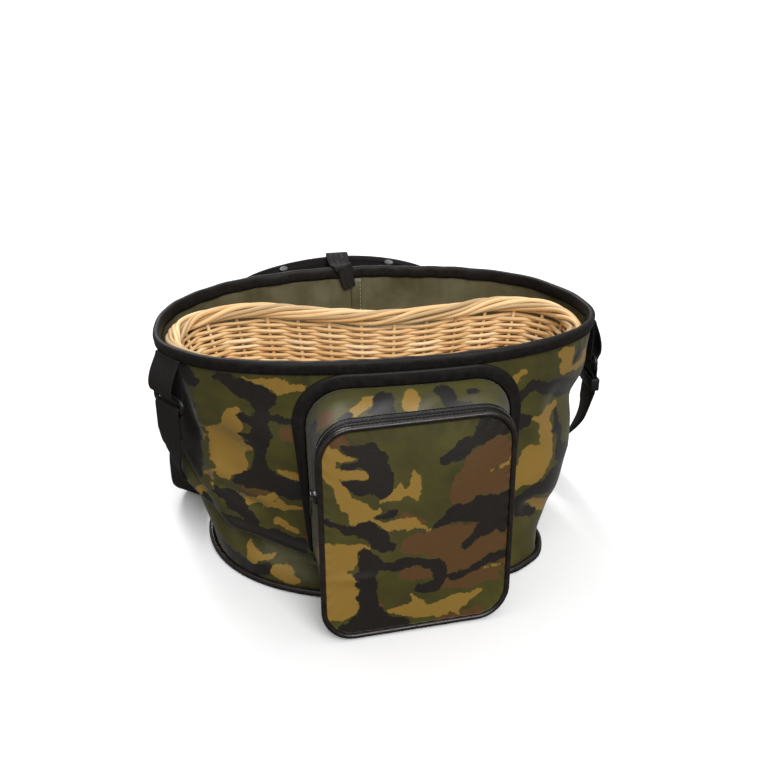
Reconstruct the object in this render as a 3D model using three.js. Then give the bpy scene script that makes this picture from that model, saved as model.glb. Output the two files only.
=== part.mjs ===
// Mushroom basket: a bean-shaped willow basket standing in an oval cloth cover with a zipped front pocket.
// Millimetres. +X runs along the long axis, the pocket faces -Y, +Z is up, the floor is z = 0.
import * as THREE from "three";

// Overall sizes of the cover.
const RIM_HEIGHT = 228;
const CLOTH_THICK = 1.6;
const BASE_THICK = 2.5;
const SEAM_GAP = 0.4;
const AROUND = 64;
const NORMAL_STEP = 0.01;

// Cross-sections of the cover wall, from the bottom seam to the rim. The front and back depths are measured
// from the line through the two ends, which lies at endsY.
const WALL_SECTIONS = [
  { z: 0, halfLength: 174, front: 137, back: 118, endsY: -5, squareness: 2.15 },
  { z: 22, halfLength: 179, front: 132, back: 117, endsY: -5, squareness: 2.15 },
  { z: 50, halfLength: 189, front: 125, back: 120, endsY: -5, squareness: 2.15 },
  { z: 90, halfLength: 199, front: 118, back: 127, endsY: -5, squareness: 2.2 },
  { z: 135, halfLength: 203, front: 112, back: 135, endsY: -3, squareness: 2.25 },
  { z: 182, halfLength: 209, front: 106, back: 142, endsY: -1, squareness: 2.3 },
  { z: 228, halfLength: 215, front: 103, back: 147, endsY: 0, squareness: 2.3 },
];

// Folds pressed into the wall: a line from one place to another, its half-width and depth; a negative
// depth is a bulge. Angles are counted from the right end, 180 is the left end and 270 the middle of
// the front.
const WALL_FOLDS = [
  { name: "left crease", fromDeg: 186, fromZ: 66, toDeg: 233, toZ: 30, width: 13, depth: 7 },
  { name: "left hollow", fromDeg: 206, fromZ: 130, toDeg: 222, toZ: 80, width: 26, depth: 4 },
  { name: "right hollow", fromDeg: 338, fromZ: 150, toDeg: 352, toZ: 140, width: 24, depth: 8 },
  { name: "drawn-in right foot", fromDeg: 344, fromZ: 5, toDeg: 376, toZ: 5, width: 22, depth: 15 },
  { name: "full right corner", fromDeg: 316, fromZ: 2, toDeg: 324, toZ: 2, width: 22, depth: -9 },
  { name: "back hollow", fromDeg: 70, fromZ: 120, toDeg: 110, toZ: 110, width: 50, depth: 8 },
  { name: "slack back corner", fromDeg: 22, fromZ: 240, toDeg: 58, toZ: 240, width: 60, depth: 8 },
];
const FOLD_RADIUS = 175;

// Trim of the cover.
const BINDING_WIDTH = 10;
const BINDING_THICK = 1.5;
const RIM_GAP = 0.6;
const PIPING_RADIUS = 3.2;

// Pocket on the front: the cover sits turned a little round the basket, so the pocket is turned with it.
const POCKET_TURN_DEG = 4.5;
const FACE_BOTTOM = { x: -10, y: -194, z: 4, width: 169 };
const FACE_TOP = { x: -4, y: -168, z: 200, width: 174 };
const FACE_CORNER = 28;
const FACE_CROWN = 5;
const FACE_SHARES = [0.1, 0.45, 0.75, 1];
const POCKET_FLARE = 10;
const POCKET_SKEW = 5;
const BACK_BOTTOM_Z = 14;
const BACK_TOP_Z = 202;
const POCKET_POINTS = 48;
const HALVINGS = 40;
const POCKET_PIPING_RADIUS = 2.5;
const ZIP_WIDTH = 13;
const ZIP_END_Z = 132;
const TAPE_WIDTH = 13;
const TAPE_START_Z = 58;
const WALL_GAP = 0.8;
const SLIDER = { length: 11, width: 9, height: 5 };
const PULL = { length: 24, width: 7, thick: 1.6 };

// Webbing and its hardware.
const WEB_WIDTH = 38;
const WEB_THICK = 1.8;
const TURN_STEPS = 6;
const RING_BAR = 2.4;
const RING_CLEAR = 1;
const RING_HEIGHT = 12;
const RING_TOP_Z = 181;
const LOOP_TOP_Z = 216;
const STRAP_TAIL = 28;
const FOLD_REACH = 3;
const ADJUSTER = { wall: 2.5, height: 13, clear: 0.6, seat: 3 };
const LEFT_ANCHOR = { deg: 192, inset: 0 };
const RIGHT_ANCHOR = { deg: 358, inset: 0 };

// Way of the strap from the left ring down to the floor, behind the cover and up to the right ring. The
// outer face of the webbing looks along faceDeg, counted from +X, and is tipped upwards by liftDeg.
const STRAP_WAY = [
  { x: -207, y: -42, z: 112, faceDeg: 206, liftDeg: 2 },
  { x: -205, y: -12, z: 84, faceDeg: 216, liftDeg: 0 },
  { x: -204, y: 22, z: 52, faceDeg: 232, liftDeg: -5 },
  { x: -202, y: 46, z: 20, faceDeg: 240, liftDeg: -16 },
  { x: -194, y: 65, z: 4.6, faceDeg: 234, liftDeg: -62 },
  { x: -166, y: 100, z: 1.7, faceDeg: 228, liftDeg: -90 },
  { x: -110, y: 140, z: 1.7, faceDeg: 206, liftDeg: -90 },
  { x: -10, y: 164, z: 1.7, faceDeg: 180, liftDeg: -90 },
  { x: 95, y: 150, z: 1.7, faceDeg: 152, liftDeg: -90 },
  { x: 166, y: 110, z: 1.7, faceDeg: 128, liftDeg: -90 },
  { x: 192, y: 82, z: 5, faceDeg: -52, liftDeg: -66 },
  { x: 204, y: 56, z: 22, faceDeg: -48, liftDeg: -24 },
  { x: 210, y: 31, z: 52, faceDeg: -44, liftDeg: -4 },
  { x: 214, y: 9, z: 88, faceDeg: -38, liftDeg: 2 },
  { x: 217, y: -4, z: 114, faceDeg: -12, liftDeg: 0 },
];
const STRAP_STEPS = 52;

// Grab handle, rivets and tab in the middle of the back.
const HANDLE_TURN_DEG = 8.7;
const HANDLE_HALF_DEG = 35;
const HANDLE_HEIGHT = 26;
const HANDLE_THICK = 3;
const HANDLE_BOW = 13;
const HANDLE_RISE = 9;
const HANDLE_FULLNESS = 0.7;
const HANDLE_STEPS = 22;
const RIVET_SHARE = 0.62;
const RIVET_TURN = 0.17;
const RIVET = { radius: 4, height: 2, above: 1, steps: 4, sides: 12 };
const TAB_WIDTH = 24;

// Way of the tab, outwards and upwards from the inner face of the binding, the rim, the crest of the handle
// and the foot of the tab on the wall.
const TAB_WAY = [
  { from: "binding", out: -3.9, up: -19.6 },
  { from: "binding", out: -2.8, up: -14 },
  { from: "binding", out: 0, up: 0 },
  { from: "binding", out: 1.2, up: 3.5 },
  { from: "rim", out: 2, up: 4.7 },
  { from: "crest", out: -6, up: 1 },
  { from: "crest", out: -1.5, up: 2 },
  { from: "crest", out: 1.3, up: 0 },
  { from: "crest", out: 2.1, up: -4.3 },
  { from: "crest", out: 1.3, up: -29.3 },
  { from: "foot", out: 3, up: -20 },
  { from: "foot", out: 0, up: -26 },
  { from: "foot", out: -1, up: -38 },
];

// Willow basket.
const BASKET_CENTRE = { x: -3.5, y: -13 };
const BASKET_TURN_DEG = -3;
const BASKET_AROUND = 48;
const BASKET_ROWS = 7;
const WICKER_THICK = 8;
const BASKET_FLOOR = 8;
const BORDER_RADIUS = 8.3;
const BORDER_TOP = 223;
const BORDER_DROP = { depth: 9, power: 1.3 };

// Outlines of the basket's outer face at its foot and under its border. The back is pressed in by the dent.
const BASKET_SECTIONS = [
  { z: 0, halfLength: 152, front: 54, back: 78, dent: 32 },
  { z: 60, halfLength: 162, front: 58, back: 83, dent: 35 },
  { z: 222, halfLength: 202, front: 66, back: 92, dent: 45 },
];
const BASKET_SQUARENESS = { front: 2.3, back: 3 };
const DENT_REACH = 170;
const DENT_CENTRE = 15;
const BEAN_NORMAL_STEP = 0.06;

const radians = THREE.MathUtils.degToRad;
const lerp = THREE.MathUtils.lerp;
const CLOTH = new THREE.MeshStandardMaterial({ color: 0x5b5a2c, roughness: 0.6 });
const TRIM = new THREE.MeshStandardMaterial({ color: 0x1c1b1c, roughness: 0.7 });
const PLASTIC = new THREE.MeshStandardMaterial({ color: 0x141414, roughness: 0.45 });
const METAL = new THREE.MeshStandardMaterial({ color: 0xb9bcc0, roughness: 0.3, metalness: 1 });
const WILLOW = new THREE.MeshStandardMaterial({ color: 0xd8b27a, roughness: 0.65 });

// Sizes of a table at one height, run smoothly between its rows.
function sectionAt(table, z) {
  const last = table.length - 1;
  let row = 0;
  while (row < last - 1 && z > table[row + 1].z) {
    row += 1;
  }
  const low = table[row];
  const high = table[row + 1];
  const share = THREE.MathUtils.clamp((z - low.z) / (high.z - low.z), 0, 1);
  const section = {};
  for (const key of Object.keys(low)) {
    section[key] = lerp(low[key], high[key], share);
  }
  return section;
}

// How deep the folds press the wall in at one place.
function foldDepth(angle, z) {
  let depth = 0;
  for (const fold of WALL_FOLDS) {
    const turn = angle - radians(fold.fromDeg);
    const nearTurn = THREE.MathUtils.euclideanModulo(turn + Math.PI, 2 * Math.PI) - Math.PI;
    const run = new THREE.Vector2(radians(fold.toDeg - fold.fromDeg) * FOLD_RADIUS, fold.toZ - fold.fromZ);
    const here = new THREE.Vector2(nearTurn * FOLD_RADIUS, z - fold.fromZ);
    const along = THREE.MathUtils.clamp(here.dot(run) / run.lengthSq(), 0, 1);
    const away = here.distanceTo(run.multiplyScalar(along)) / fold.width;
    depth += fold.depth * Math.exp(-away * away);
  }
  return depth;
}

// Distance of the wall's outer face from the middle of its section, for an angle in radians.
function wallRadius(angle, z) {
  const turn = THREE.MathUtils.euclideanModulo(angle, 2 * Math.PI);
  const section = sectionAt(WALL_SECTIONS, z);
  const depth = Math.sin(turn) < 0 ? section.front : section.back;
  const power = section.squareness;
  const across = Math.abs(Math.cos(turn) / section.halfLength) ** power;
  const along = Math.abs(Math.sin(turn) / depth) ** power;
  return (across + along) ** (-1 / power) - foldDepth(turn, z);
}

// Point of the wall's outer face, moved outwards along the level normal.
function wallPoint(angle, z, outwards = 0, height = z) {
  const level = Math.min(z, RIM_HEIGHT);
  const step = NORMAL_STEP;
  const middle = sectionAt(WALL_SECTIONS, level).endsY;
  const near = wallRadius(angle - step, level);
  const far = wallRadius(angle + step, level);
  const here = wallRadius(angle, level);
  const slopeX = far * Math.cos(angle + step) - near * Math.cos(angle - step);
  const slopeY = far * Math.sin(angle + step) - near * Math.sin(angle - step);
  const size = Math.hypot(slopeX, slopeY);
  const x = here * Math.cos(angle) + (outwards * slopeY) / size;
  const y = middle + here * Math.sin(angle) - (outwards * slopeX) / size;
  return new THREE.Vector3(x, y, height);
}

// Closed solid through a row of rings of equal count. A looped row joins its last ring to its first, an
// open one is capped at both ends.
function loft(rings, looped) {
  const count = rings[0].length;
  const points = rings.flat();
  const faces = [];
  const joins = looped ? rings.length : rings.length - 1;
  for (let row = 0; row < joins; row += 1) {
    const next = (row + 1) % rings.length;
    for (let place = 0; place < count; place += 1) {
      const turn = (place + 1) % count;
      const [a, b] = [row * count + place, row * count + turn];
      const [c, d] = [next * count + place, next * count + turn];
      faces.push(a, b, d, a, d, c);
    }
  }
  if (!looped) {
    for (const row of [0, rings.length - 1]) {
      const centre = new THREE.Vector3();
      rings[row].forEach((point) => centre.addScaledVector(point, 1 / count));
      points.push(centre);
      for (let place = 0; place < count; place += 1) {
        const edge = [row * count + place, row * count + ((place + 1) % count)];
        const [first, second] = row === 0 ? edge.reverse() : edge;
        faces.push(first, second, points.length - 1);
      }
    }
  }
  let volume = 0;
  for (let face = 0; face < faces.length; face += 3) {
    const [a, b, c] = [points[faces[face]], points[faces[face + 1]], points[faces[face + 2]]];
    volume += a.dot(new THREE.Vector3().crossVectors(b, c));
  }
  const geometry = new THREE.BufferGeometry().setFromPoints(points);
  geometry.setIndex(volume < 0 ? faces.reverse() : faces);
  return geometry;
}

// Ring-shaped solid: the section is worked out at each step round the object.
function ringSolid(steps, sectionOf) {
  const rings = [];
  for (let step = 0; step < steps; step += 1) {
    rings.push(sectionOf((step / steps) * 2 * Math.PI, step));
  }
  return loft(rings, true);
}

// Outline of a strip of one thickness along a way in a plane.
function stripShape(way, thick) {
  const left = [];
  const right = [];
  way.forEach((point, place) => {
    const before = way[Math.max(place - 1, 0)];
    const after = way[Math.min(place + 1, way.length - 1)];
    const normal = after.clone().sub(before).normalize().multiplyScalar(thick / 2);
    left.push(new THREE.Vector2(point.x - normal.y, point.y + normal.x));
    right.unshift(new THREE.Vector2(point.x + normal.y, point.y - normal.x));
  });
  return new THREE.Shape([...left, ...right]);
}

// Half circle of a way round a bar, from one side to the other.
function halfTurn(centre, radius, fromDeg, toDeg) {
  const way = [];
  for (let step = 0; step <= TURN_STEPS; step += 1) {
    const angle = radians(lerp(fromDeg, toDeg, step / TURN_STEPS));
    way.push(new THREE.Vector2(centre.x + radius * Math.cos(angle), centre.y + radius * Math.sin(angle)));
  }
  return way;
}

function piece(name, geometry, material) {
  const mesh = new THREE.Mesh(geometry, material);
  mesh.name = name;
  return mesh;
}

const mushroomBasket = new THREE.Group();
mushroomBasket.name = "mushroom_basket";

// Bottom panel of the cover, flat on the floor.
const wallFoot = BASE_THICK + SEAM_GAP;
const baseOutline = [];
for (let step = 0; step < AROUND; step += 1) {
  const edge = wallPoint((step / AROUND) * 2 * Math.PI, wallFoot);
  baseOutline.push(new THREE.Vector2(edge.x, edge.y));
}
const baseShape = new THREE.Shape(baseOutline);
const basePlate = new THREE.ExtrudeGeometry(baseShape, { depth: BASE_THICK, bevelEnabled: false });
mushroomBasket.add(piece("cover_base", basePlate, CLOTH));

// Sleeve of the cover: up the outer face, down the inner one. Rows of points lie on the table's sections,
// half way between them and along the binding's edge.
const wallRows = [];
WALL_SECTIONS.forEach((section, row) => {
  const below = row === 0 ? section.z : WALL_SECTIONS[row - 1].z;
  wallRows.push((below + section.z) / 2, section.z);
});
wallRows.splice(0, 2, wallFoot);
wallRows.splice(-2, 1, RIM_HEIGHT - BINDING_WIDTH);
const wallSolid = ringSolid(AROUND, (angle) => {
  const outer = wallRows.map((z) => wallPoint(angle, z));
  const inner = wallRows.map((z) => wallPoint(angle, z, -CLOTH_THICK));
  return [...outer, ...inner.reverse()];
});
mushroomBasket.add(piece("cover_wall", wallSolid, CLOTH));

// Piping in the bottom seam.
const pipingSides = 6;
const basePiping = ringSolid(AROUND, (angle) => {
  const section = [];
  const centre = PIPING_RADIUS + SEAM_GAP;
  for (let side = 0; side < pipingSides; side += 1) {
    const turn = (side / pipingSides) * 2 * Math.PI;
    const outwards = centre + PIPING_RADIUS * Math.cos(turn);
    section.push(wallPoint(angle, wallFoot, outwards, centre + PIPING_RADIUS * Math.sin(turn)));
  }
  return section;
});
mushroomBasket.add(piece("base_piping", basePiping, TRIM));

// Tape folded over the rim, a channel with a leg on either face of the wall.
const outerLeg = RIM_GAP + BINDING_THICK;
const innerLeg = -CLOTH_THICK - RIM_GAP - BINDING_THICK;
const bindingCorners = [
  { out: outerLeg, up: -BINDING_WIDTH },
  { out: outerLeg, up: SEAM_GAP + BINDING_THICK },
  { out: innerLeg, up: SEAM_GAP + BINDING_THICK },
  { out: innerLeg, up: -BINDING_WIDTH },
  { out: innerLeg + BINDING_THICK, up: -BINDING_WIDTH },
  { out: innerLeg + BINDING_THICK, up: SEAM_GAP },
  { out: RIM_GAP, up: SEAM_GAP },
  { out: RIM_GAP, up: -BINDING_WIDTH },
];
const rimBinding = ringSolid(AROUND, (angle) =>
  bindingCorners.map((corner) => wallPoint(angle, RIM_HEIGHT + corner.up, corner.out)),
);
mushroomBasket.add(piece("rim_binding", rimBinding, TRIM));

// Pocket, worked out in a frame turned with the cover: x across the face, z up, -y out of the face.
const pocket = new THREE.Group();
pocket.rotation.z = radians(POCKET_TURN_DEG);
mushroomBasket.add(pocket);

// Where the wall's outer face lies behind a place of the turned frame.
function wallBehind(across, z) {
  const turn = radians(POCKET_TURN_DEG);
  const middle = sectionAt(WALL_SECTIONS, z).endsY;
  let inside = 0;
  let outside = FACE_BOTTOM.y;
  for (let pass = 0; pass < HALVINGS; pass += 1) {
    const depth = (inside + outside) / 2;
    const x = across * Math.cos(turn) - depth * Math.sin(turn);
    const y = across * Math.sin(turn) + depth * Math.cos(turn) - middle;
    if (Math.hypot(x, y) < wallRadius(Math.atan2(y, x), z)) {
      inside = depth;
    } else {
      outside = depth;
    }
  }
  return inside;
}

// Rounded rectangle from its bottom middle round by the right, as places (x, z).
function roundedOutline(width, bottom, top, corner) {
  const half = width / 2;
  const outline = new THREE.Shape();
  outline.moveTo(0, bottom);
  outline.lineTo(half - corner, bottom);
  outline.absarc(half - corner, bottom + corner, corner, -Math.PI / 2, 0);
  outline.absarc(half - corner, top - corner, corner, 0, Math.PI / 2);
  outline.absarc(corner - half, top - corner, corner, Math.PI / 2, Math.PI);
  outline.absarc(corner - half, bottom + corner, corner, Math.PI, Math.PI * 1.5);
  outline.lineTo(0, bottom);
  return outline.getSpacedPoints(POCKET_POINTS).slice(0, POCKET_POINTS);
}

// Edge of the face and edge of the seam on the wall, both drawn in by an inset. The face is drawn on its
// mean width and then widened towards the top.
const faceWidth = (FACE_BOTTOM.width + FACE_TOP.width) / 2;
function faceEdge(inset) {
  const corner = FACE_CORNER - inset;
  const edge = roundedOutline(faceWidth - 2 * inset, FACE_BOTTOM.z + inset, FACE_TOP.z - inset, corner);
  return edge.map((place) => {
    const share = (place.y - FACE_BOTTOM.z) / (FACE_TOP.z - FACE_BOTTOM.z);
    const widen = lerp(FACE_BOTTOM.width, FACE_TOP.width, share) / faceWidth;
    const x = lerp(FACE_BOTTOM.x, FACE_TOP.x, share) + place.x * widen;
    return new THREE.Vector3(x, lerp(FACE_BOTTOM.y, FACE_TOP.y, share), place.y);
  });
}

function seamEdge(inset, clear) {
  const width = faceWidth + 2 * POCKET_FLARE - 2 * inset;
  const corner = FACE_CORNER + POCKET_FLARE - inset;
  const edge = roundedOutline(width, BACK_BOTTOM_Z + inset, BACK_TOP_Z - inset, corner);
  return edge.map((place) => {
    const x = place.x + POCKET_SKEW;
    return new THREE.Vector3(x, wallBehind(x, place.y) - clear, place.y);
  });
}

// Printed face, crowned a little, inside its piping.
const faceInset = POCKET_PIPING_RADIUS + SEAM_GAP;
const faceRim = faceEdge(faceInset);
const faceMiddle = new THREE.Vector3(
  (FACE_BOTTOM.x + FACE_TOP.x) / 2, (FACE_BOTTOM.y + FACE_TOP.y) / 2, (FACE_BOTTOM.z + FACE_TOP.z) / 2,
);
function faceRing(share, back) {
  return faceRim.map((edge) => {
    const place = new THREE.Vector3().lerpVectors(faceMiddle, edge, share);
    place.y += back - FACE_CROWN * (1 - share * share);
    return place;
  });
}
const faceRings = FACE_SHARES.map((share) => faceRing(share, 0));
FACE_SHARES.toReversed().forEach((share) => faceRings.push(faceRing(share, CLOTH_THICK)));
pocket.add(piece("pocket_front", loft(faceRings, false), CLOTH));

// Piping round the face.
const faceLine = faceEdge(0);
const pocketPiping = ringSolid(POCKET_POINTS, (angle, step) => {
  const place = faceLine[step];
  const outwards = new THREE.Vector3().subVectors(place, faceRim[step]).normalize();
  const forwards = new THREE.Vector3(0, -1, 0);
  const section = [];
  for (let side = 0; side < pipingSides; side += 1) {
    const turn = (side / pipingSides) * 2 * Math.PI;
    const edge = place.clone().addScaledVector(outwards, POCKET_PIPING_RADIUS * Math.cos(turn));
    section.push(edge.addScaledVector(forwards, POCKET_PIPING_RADIUS * Math.sin(turn)));
  }
  return section;
});
pocket.add(piece("pocket_piping", pocketPiping, TRIM));

// Band of cloth from the wall to the piping. Over the top it stops short to leave room for the zip.
const bandOuter = { face: faceEdge(0), seam: seamEdge(0, WALL_GAP) };
const bandInner = { face: faceEdge(CLOTH_THICK), seam: seamEdge(CLOTH_THICK, WALL_GAP) };
function bandPlace(band, step, distance) {
  const run = new THREE.Vector3().subVectors(band.seam[step], band.face[step]);
  return band.face[step].clone().addScaledVector(run.normalize(), distance);
}
const zipStart = POCKET_PIPING_RADIUS + SEAM_GAP;
const zipEnd = zipStart + ZIP_WIDTH;
const gusset = ringSolid(POCKET_POINTS, (angle, step) => {
  const front = faceLine[step].z > ZIP_END_Z ? zipEnd + SEAM_GAP : zipStart;
  return [
    bandPlace(bandOuter, step, front),
    bandOuter.seam[step].clone(),
    bandInner.seam[step].clone(),
    bandPlace(bandInner, step, front),
  ];
});
pocket.add(piece("pocket_gusset", gusset, CLOTH));

// Zip tape along the front edge of the band, from one side over the top to the other.
const zipRings = [];
for (let step = 0; step < POCKET_POINTS; step += 1) {
  if (faceLine[step].z > ZIP_END_Z) {
    zipRings.push([
      bandPlace(bandOuter, step, zipStart),
      bandPlace(bandOuter, step, zipEnd),
      bandPlace(bandInner, step, zipEnd),
      bandPlace(bandInner, step, zipStart),
    ]);
  }
}
pocket.add(piece("pocket_zip", loft(zipRings, false), TRIM));

// Tape over the seam between band and wall, round the sides and the top.
const tapeNear = seamEdge(-SEAM_GAP, WALL_GAP);
const tapeFar = seamEdge(-SEAM_GAP - TAPE_WIDTH, WALL_GAP);
const tapeRings = [];
tapeNear.forEach((near, step) => {
  const far = tapeFar[step];
  if (near.z > TAPE_START_Z) {
    const rise = new THREE.Vector3(0, -BINDING_THICK, 0);
    tapeRings.push([near, far, far.clone().add(rise), near.clone().add(rise)]);
  }
});
pocket.add(piece("pocket_binding", loft(tapeRings, false), TRIM));

// Slider standing on the left end of the zip, and the pull hanging from it.
const [zipFront, zipBack] = zipRings.at(-1);
const sliderSeat = new THREE.Vector3().addVectors(zipFront, zipBack).divideScalar(2);
const zipAhead = new THREE.Vector3().subVectors(zipFront, zipBack).normalize();
const zipUp = new THREE.Vector3().subVectors(zipRings.at(-2)[0], zipFront).normalize();
const zipOut = new THREE.Vector3().crossVectors(zipAhead, zipUp).normalize();
const slider = new THREE.Group();
slider.matrixAutoUpdate = false;
slider.matrix.makeBasis(zipAhead, zipUp, zipOut);
slider.matrix.setPosition(sliderSeat);
pocket.add(slider);
const sliderBody = new THREE.BoxGeometry(SLIDER.width, SLIDER.length, SLIDER.height);
sliderBody.translate(0, SLIDER.length / 2, SLIDER.height / 2 + SEAM_GAP);
slider.add(piece("zip_slider", sliderBody, METAL));
const pull = new THREE.BoxGeometry(PULL.width, PULL.length, PULL.thick);
pull.translate(0, SLIDER.length - PULL.length / 2, SLIDER.height + 2 * SEAM_GAP + PULL.thick / 2);
slider.add(piece("zip_pull", pull, METAL));

// Shoulder strap. At each end a webbing loop under the rim carries a ring, and the strap is folded round
// the lower bar of the ring. Each end has its own frame: x outwards, y up, z across the webbing.
const loopRadius = RING_BAR + SEAM_GAP + WEB_THICK / 2;
const layerGap = WEB_THICK + SEAM_GAP;
const innerLine = SEAM_GAP + WEB_THICK / 2;
const barLine = innerLine + loopRadius;
const outerLine = barLine + loopRadius;
const lowerBarZ = RING_TOP_Z - RING_HEIGHT;

function endFrame(anchor) {
  const angle = radians(anchor.deg);
  const seat = wallPoint(angle, LOOP_TOP_Z, -anchor.inset);
  const outwards = wallPoint(angle, LOOP_TOP_Z, 1 - anchor.inset).sub(seat);
  const up = new THREE.Vector3(0, 0, 1);
  const across = new THREE.Vector3().crossVectors(outwards, up);
  const frame = new THREE.Matrix4().makeBasis(outwards, up, across);
  return frame.setPosition(seat.x, seat.y, 0);
}

function strapEnd(side, anchor) {
  const frame = endFrame(anchor);
  const end = new THREE.Group();
  end.matrixAutoUpdate = false;
  end.matrix.copy(frame);
  mushroomBasket.add(end);

  const loopWay = [
    new THREE.Vector2(innerLine, LOOP_TOP_Z),
    ...halfTurn(new THREE.Vector2(barLine, RING_TOP_Z), loopRadius, 180, 360),
    new THREE.Vector2(innerLine + layerGap, LOOP_TOP_Z - loopRadius),
    new THREE.Vector2(innerLine + layerGap, LOOP_TOP_Z),
  ];
  const loopShape = stripShape(loopWay, WEB_THICK);
  const loopBody = new THREE.ExtrudeGeometry(loopShape, { depth: WEB_WIDTH, bevelEnabled: false });
  loopBody.translate(0, 0, -WEB_WIDTH / 2);
  end.add(piece(`strap_loop_${side}`, loopBody, TRIM));

  const halfSpan = WEB_WIDTH / 2 + RING_BAR + RING_CLEAR;
  const corners = [
    { z: -halfSpan, y: RING_TOP_Z },
    { z: halfSpan, y: RING_TOP_Z },
    { z: halfSpan, y: lowerBarZ },
    { z: -halfSpan, y: lowerBarZ },
  ];
  const barSides = 8;
  const ringRings = corners.map((corner, place) => {
    const outZ = place === 1 || place === 2 ? 1 : -1;
    const outY = place < 2 ? 1 : -1;
    const section = [];
    for (let step = 0; step < barSides; step += 1) {
      const turn = (step / barSides) * 2 * Math.PI;
      const away = RING_BAR * Math.cos(turn);
      const x = barLine + RING_BAR * Math.sin(turn);
      section.push(new THREE.Vector3(x, corner.y + outY * away, corner.z + outZ * away));
    }
    return section;
  });
  end.add(piece(`strap_ring_${side}`, loft(ringRings, true), PLASTIC));
  return { end, frame };
}

const leftEnd = strapEnd("left", LEFT_ANCHOR);
const rightEnd = strapEnd("right", RIGHT_ANCHOR);

// Way of the webbing at one end: up the tail, over the lower bar and down again.
function foldWay(frame, sense) {
  const tailLine = outerLine - layerGap;
  const way = [
    new THREE.Vector2(tailLine, lowerBarZ - STRAP_TAIL),
    new THREE.Vector2(tailLine, lowerBarZ - FOLD_REACH * loopRadius),
    ...halfTurn(new THREE.Vector2(barLine, lowerBarZ), loopRadius, 180, 0),
    new THREE.Vector2(outerLine, lowerBarZ - FOLD_REACH * loopRadius),
    new THREE.Vector2(outerLine, lowerBarZ - STRAP_TAIL + ADJUSTER.seat / 2),
    new THREE.Vector2(outerLine, lowerBarZ - STRAP_TAIL),
  ];
  const across = new THREE.Vector3().setFromMatrixColumn(frame, 2).multiplyScalar(sense);
  return way.map((place) => {
    const point = new THREE.Vector3(place.x, place.y, 0).applyMatrix4(frame);
    return { point, across };
  });
}
const leftFold = foldWay(leftEnd.frame, -1);
const rightFold = foldWay(rightEnd.frame, 1).reverse();
const freeRows = STRAP_WAY.map((row) => {
  const turn = radians(row.faceDeg);
  const lift = radians(row.liftDeg);
  const level = Math.cos(lift);
  const face = new THREE.Vector3(level * Math.cos(turn), level * Math.sin(turn), Math.sin(lift));
  return { point: new THREE.Vector3(row.x, row.y, row.z), face };
});
const curveRows = [leftFold.at(-1), ...freeRows, rightFold[0]];
const freeCurve = new THREE.CatmullRomCurve3(curveRows.map((row) => row.point));

// The width of the webbing lies square to its run and to the way its face looks.
function acrossAt(row) {
  const share = (row + 1) / (freeRows.length + 1);
  return new THREE.Vector3().crossVectors(freeRows[row].face, freeCurve.getTangent(share)).normalize();
}
const freeAcross = freeRows.map((row, place) => acrossAt(place));
const acrossRows = [leftFold[0].across, ...freeAcross, rightFold[0].across];
const strapLine = [...leftFold];
for (let step = 1; step < STRAP_STEPS; step += 1) {
  const share = step / STRAP_STEPS;
  const place = share * (acrossRows.length - 1);
  const row = Math.floor(place);
  const across = new THREE.Vector3().lerpVectors(acrossRows[row], acrossRows[row + 1], place - row);
  strapLine.push({ point: freeCurve.getPoint(share), across });
}
strapLine.push(...rightFold);
const strapRings = strapLine.map((row, place) => {
  const before = strapLine[Math.max(place - 1, 0)].point;
  const after = strapLine[Math.min(place + 1, strapLine.length - 1)].point;
  const along = new THREE.Vector3().subVectors(after, before).normalize();
  const across = row.across.clone().addScaledVector(along, -row.across.dot(along)).normalize();
  const normal = new THREE.Vector3().crossVectors(along, across);
  return [[1, 1], [-1, 1], [-1, -1], [1, -1]].map(([wide, deep]) =>
    row.point.clone()
      .addScaledVector(across, (wide * WEB_WIDTH) / 2)
      .addScaledVector(normal, (deep * WEB_THICK) / 2),
  );
});
mushroomBasket.add(piece("shoulder_strap", loft(strapRings, false), TRIM));

// Adjuster: a frame round both layers of webbing under the right ring.
const clearHalf = WEB_WIDTH / 2 + ADJUSTER.clear;
const layersNear = outerLine - layerGap - WEB_THICK / 2 - ADJUSTER.clear;
const layersFar = outerLine + WEB_THICK / 2 + ADJUSTER.clear;
const frameShape = new THREE.Shape();
frameShape.moveTo(layersNear - ADJUSTER.wall, -clearHalf - ADJUSTER.wall);
frameShape.lineTo(layersFar + ADJUSTER.wall, -clearHalf - ADJUSTER.wall);
frameShape.lineTo(layersFar + ADJUSTER.wall, clearHalf + ADJUSTER.wall);
frameShape.lineTo(layersNear - ADJUSTER.wall, clearHalf + ADJUSTER.wall);
const frameHole = new THREE.Path();
frameHole.moveTo(layersNear, -clearHalf);
frameHole.lineTo(layersNear, clearHalf);
frameHole.lineTo(layersFar, clearHalf);
frameHole.lineTo(layersFar, -clearHalf);
frameShape.holes.push(frameHole);
const adjuster = new THREE.ExtrudeGeometry(frameShape, { depth: ADJUSTER.height, bevelEnabled: false });
adjuster.rotateX(-Math.PI / 2);
adjuster.translate(0, lowerBarZ - STRAP_TAIL + ADJUSTER.seat, 0);
rightEnd.end.add(piece("strap_adjuster", adjuster, PLASTIC));

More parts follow.
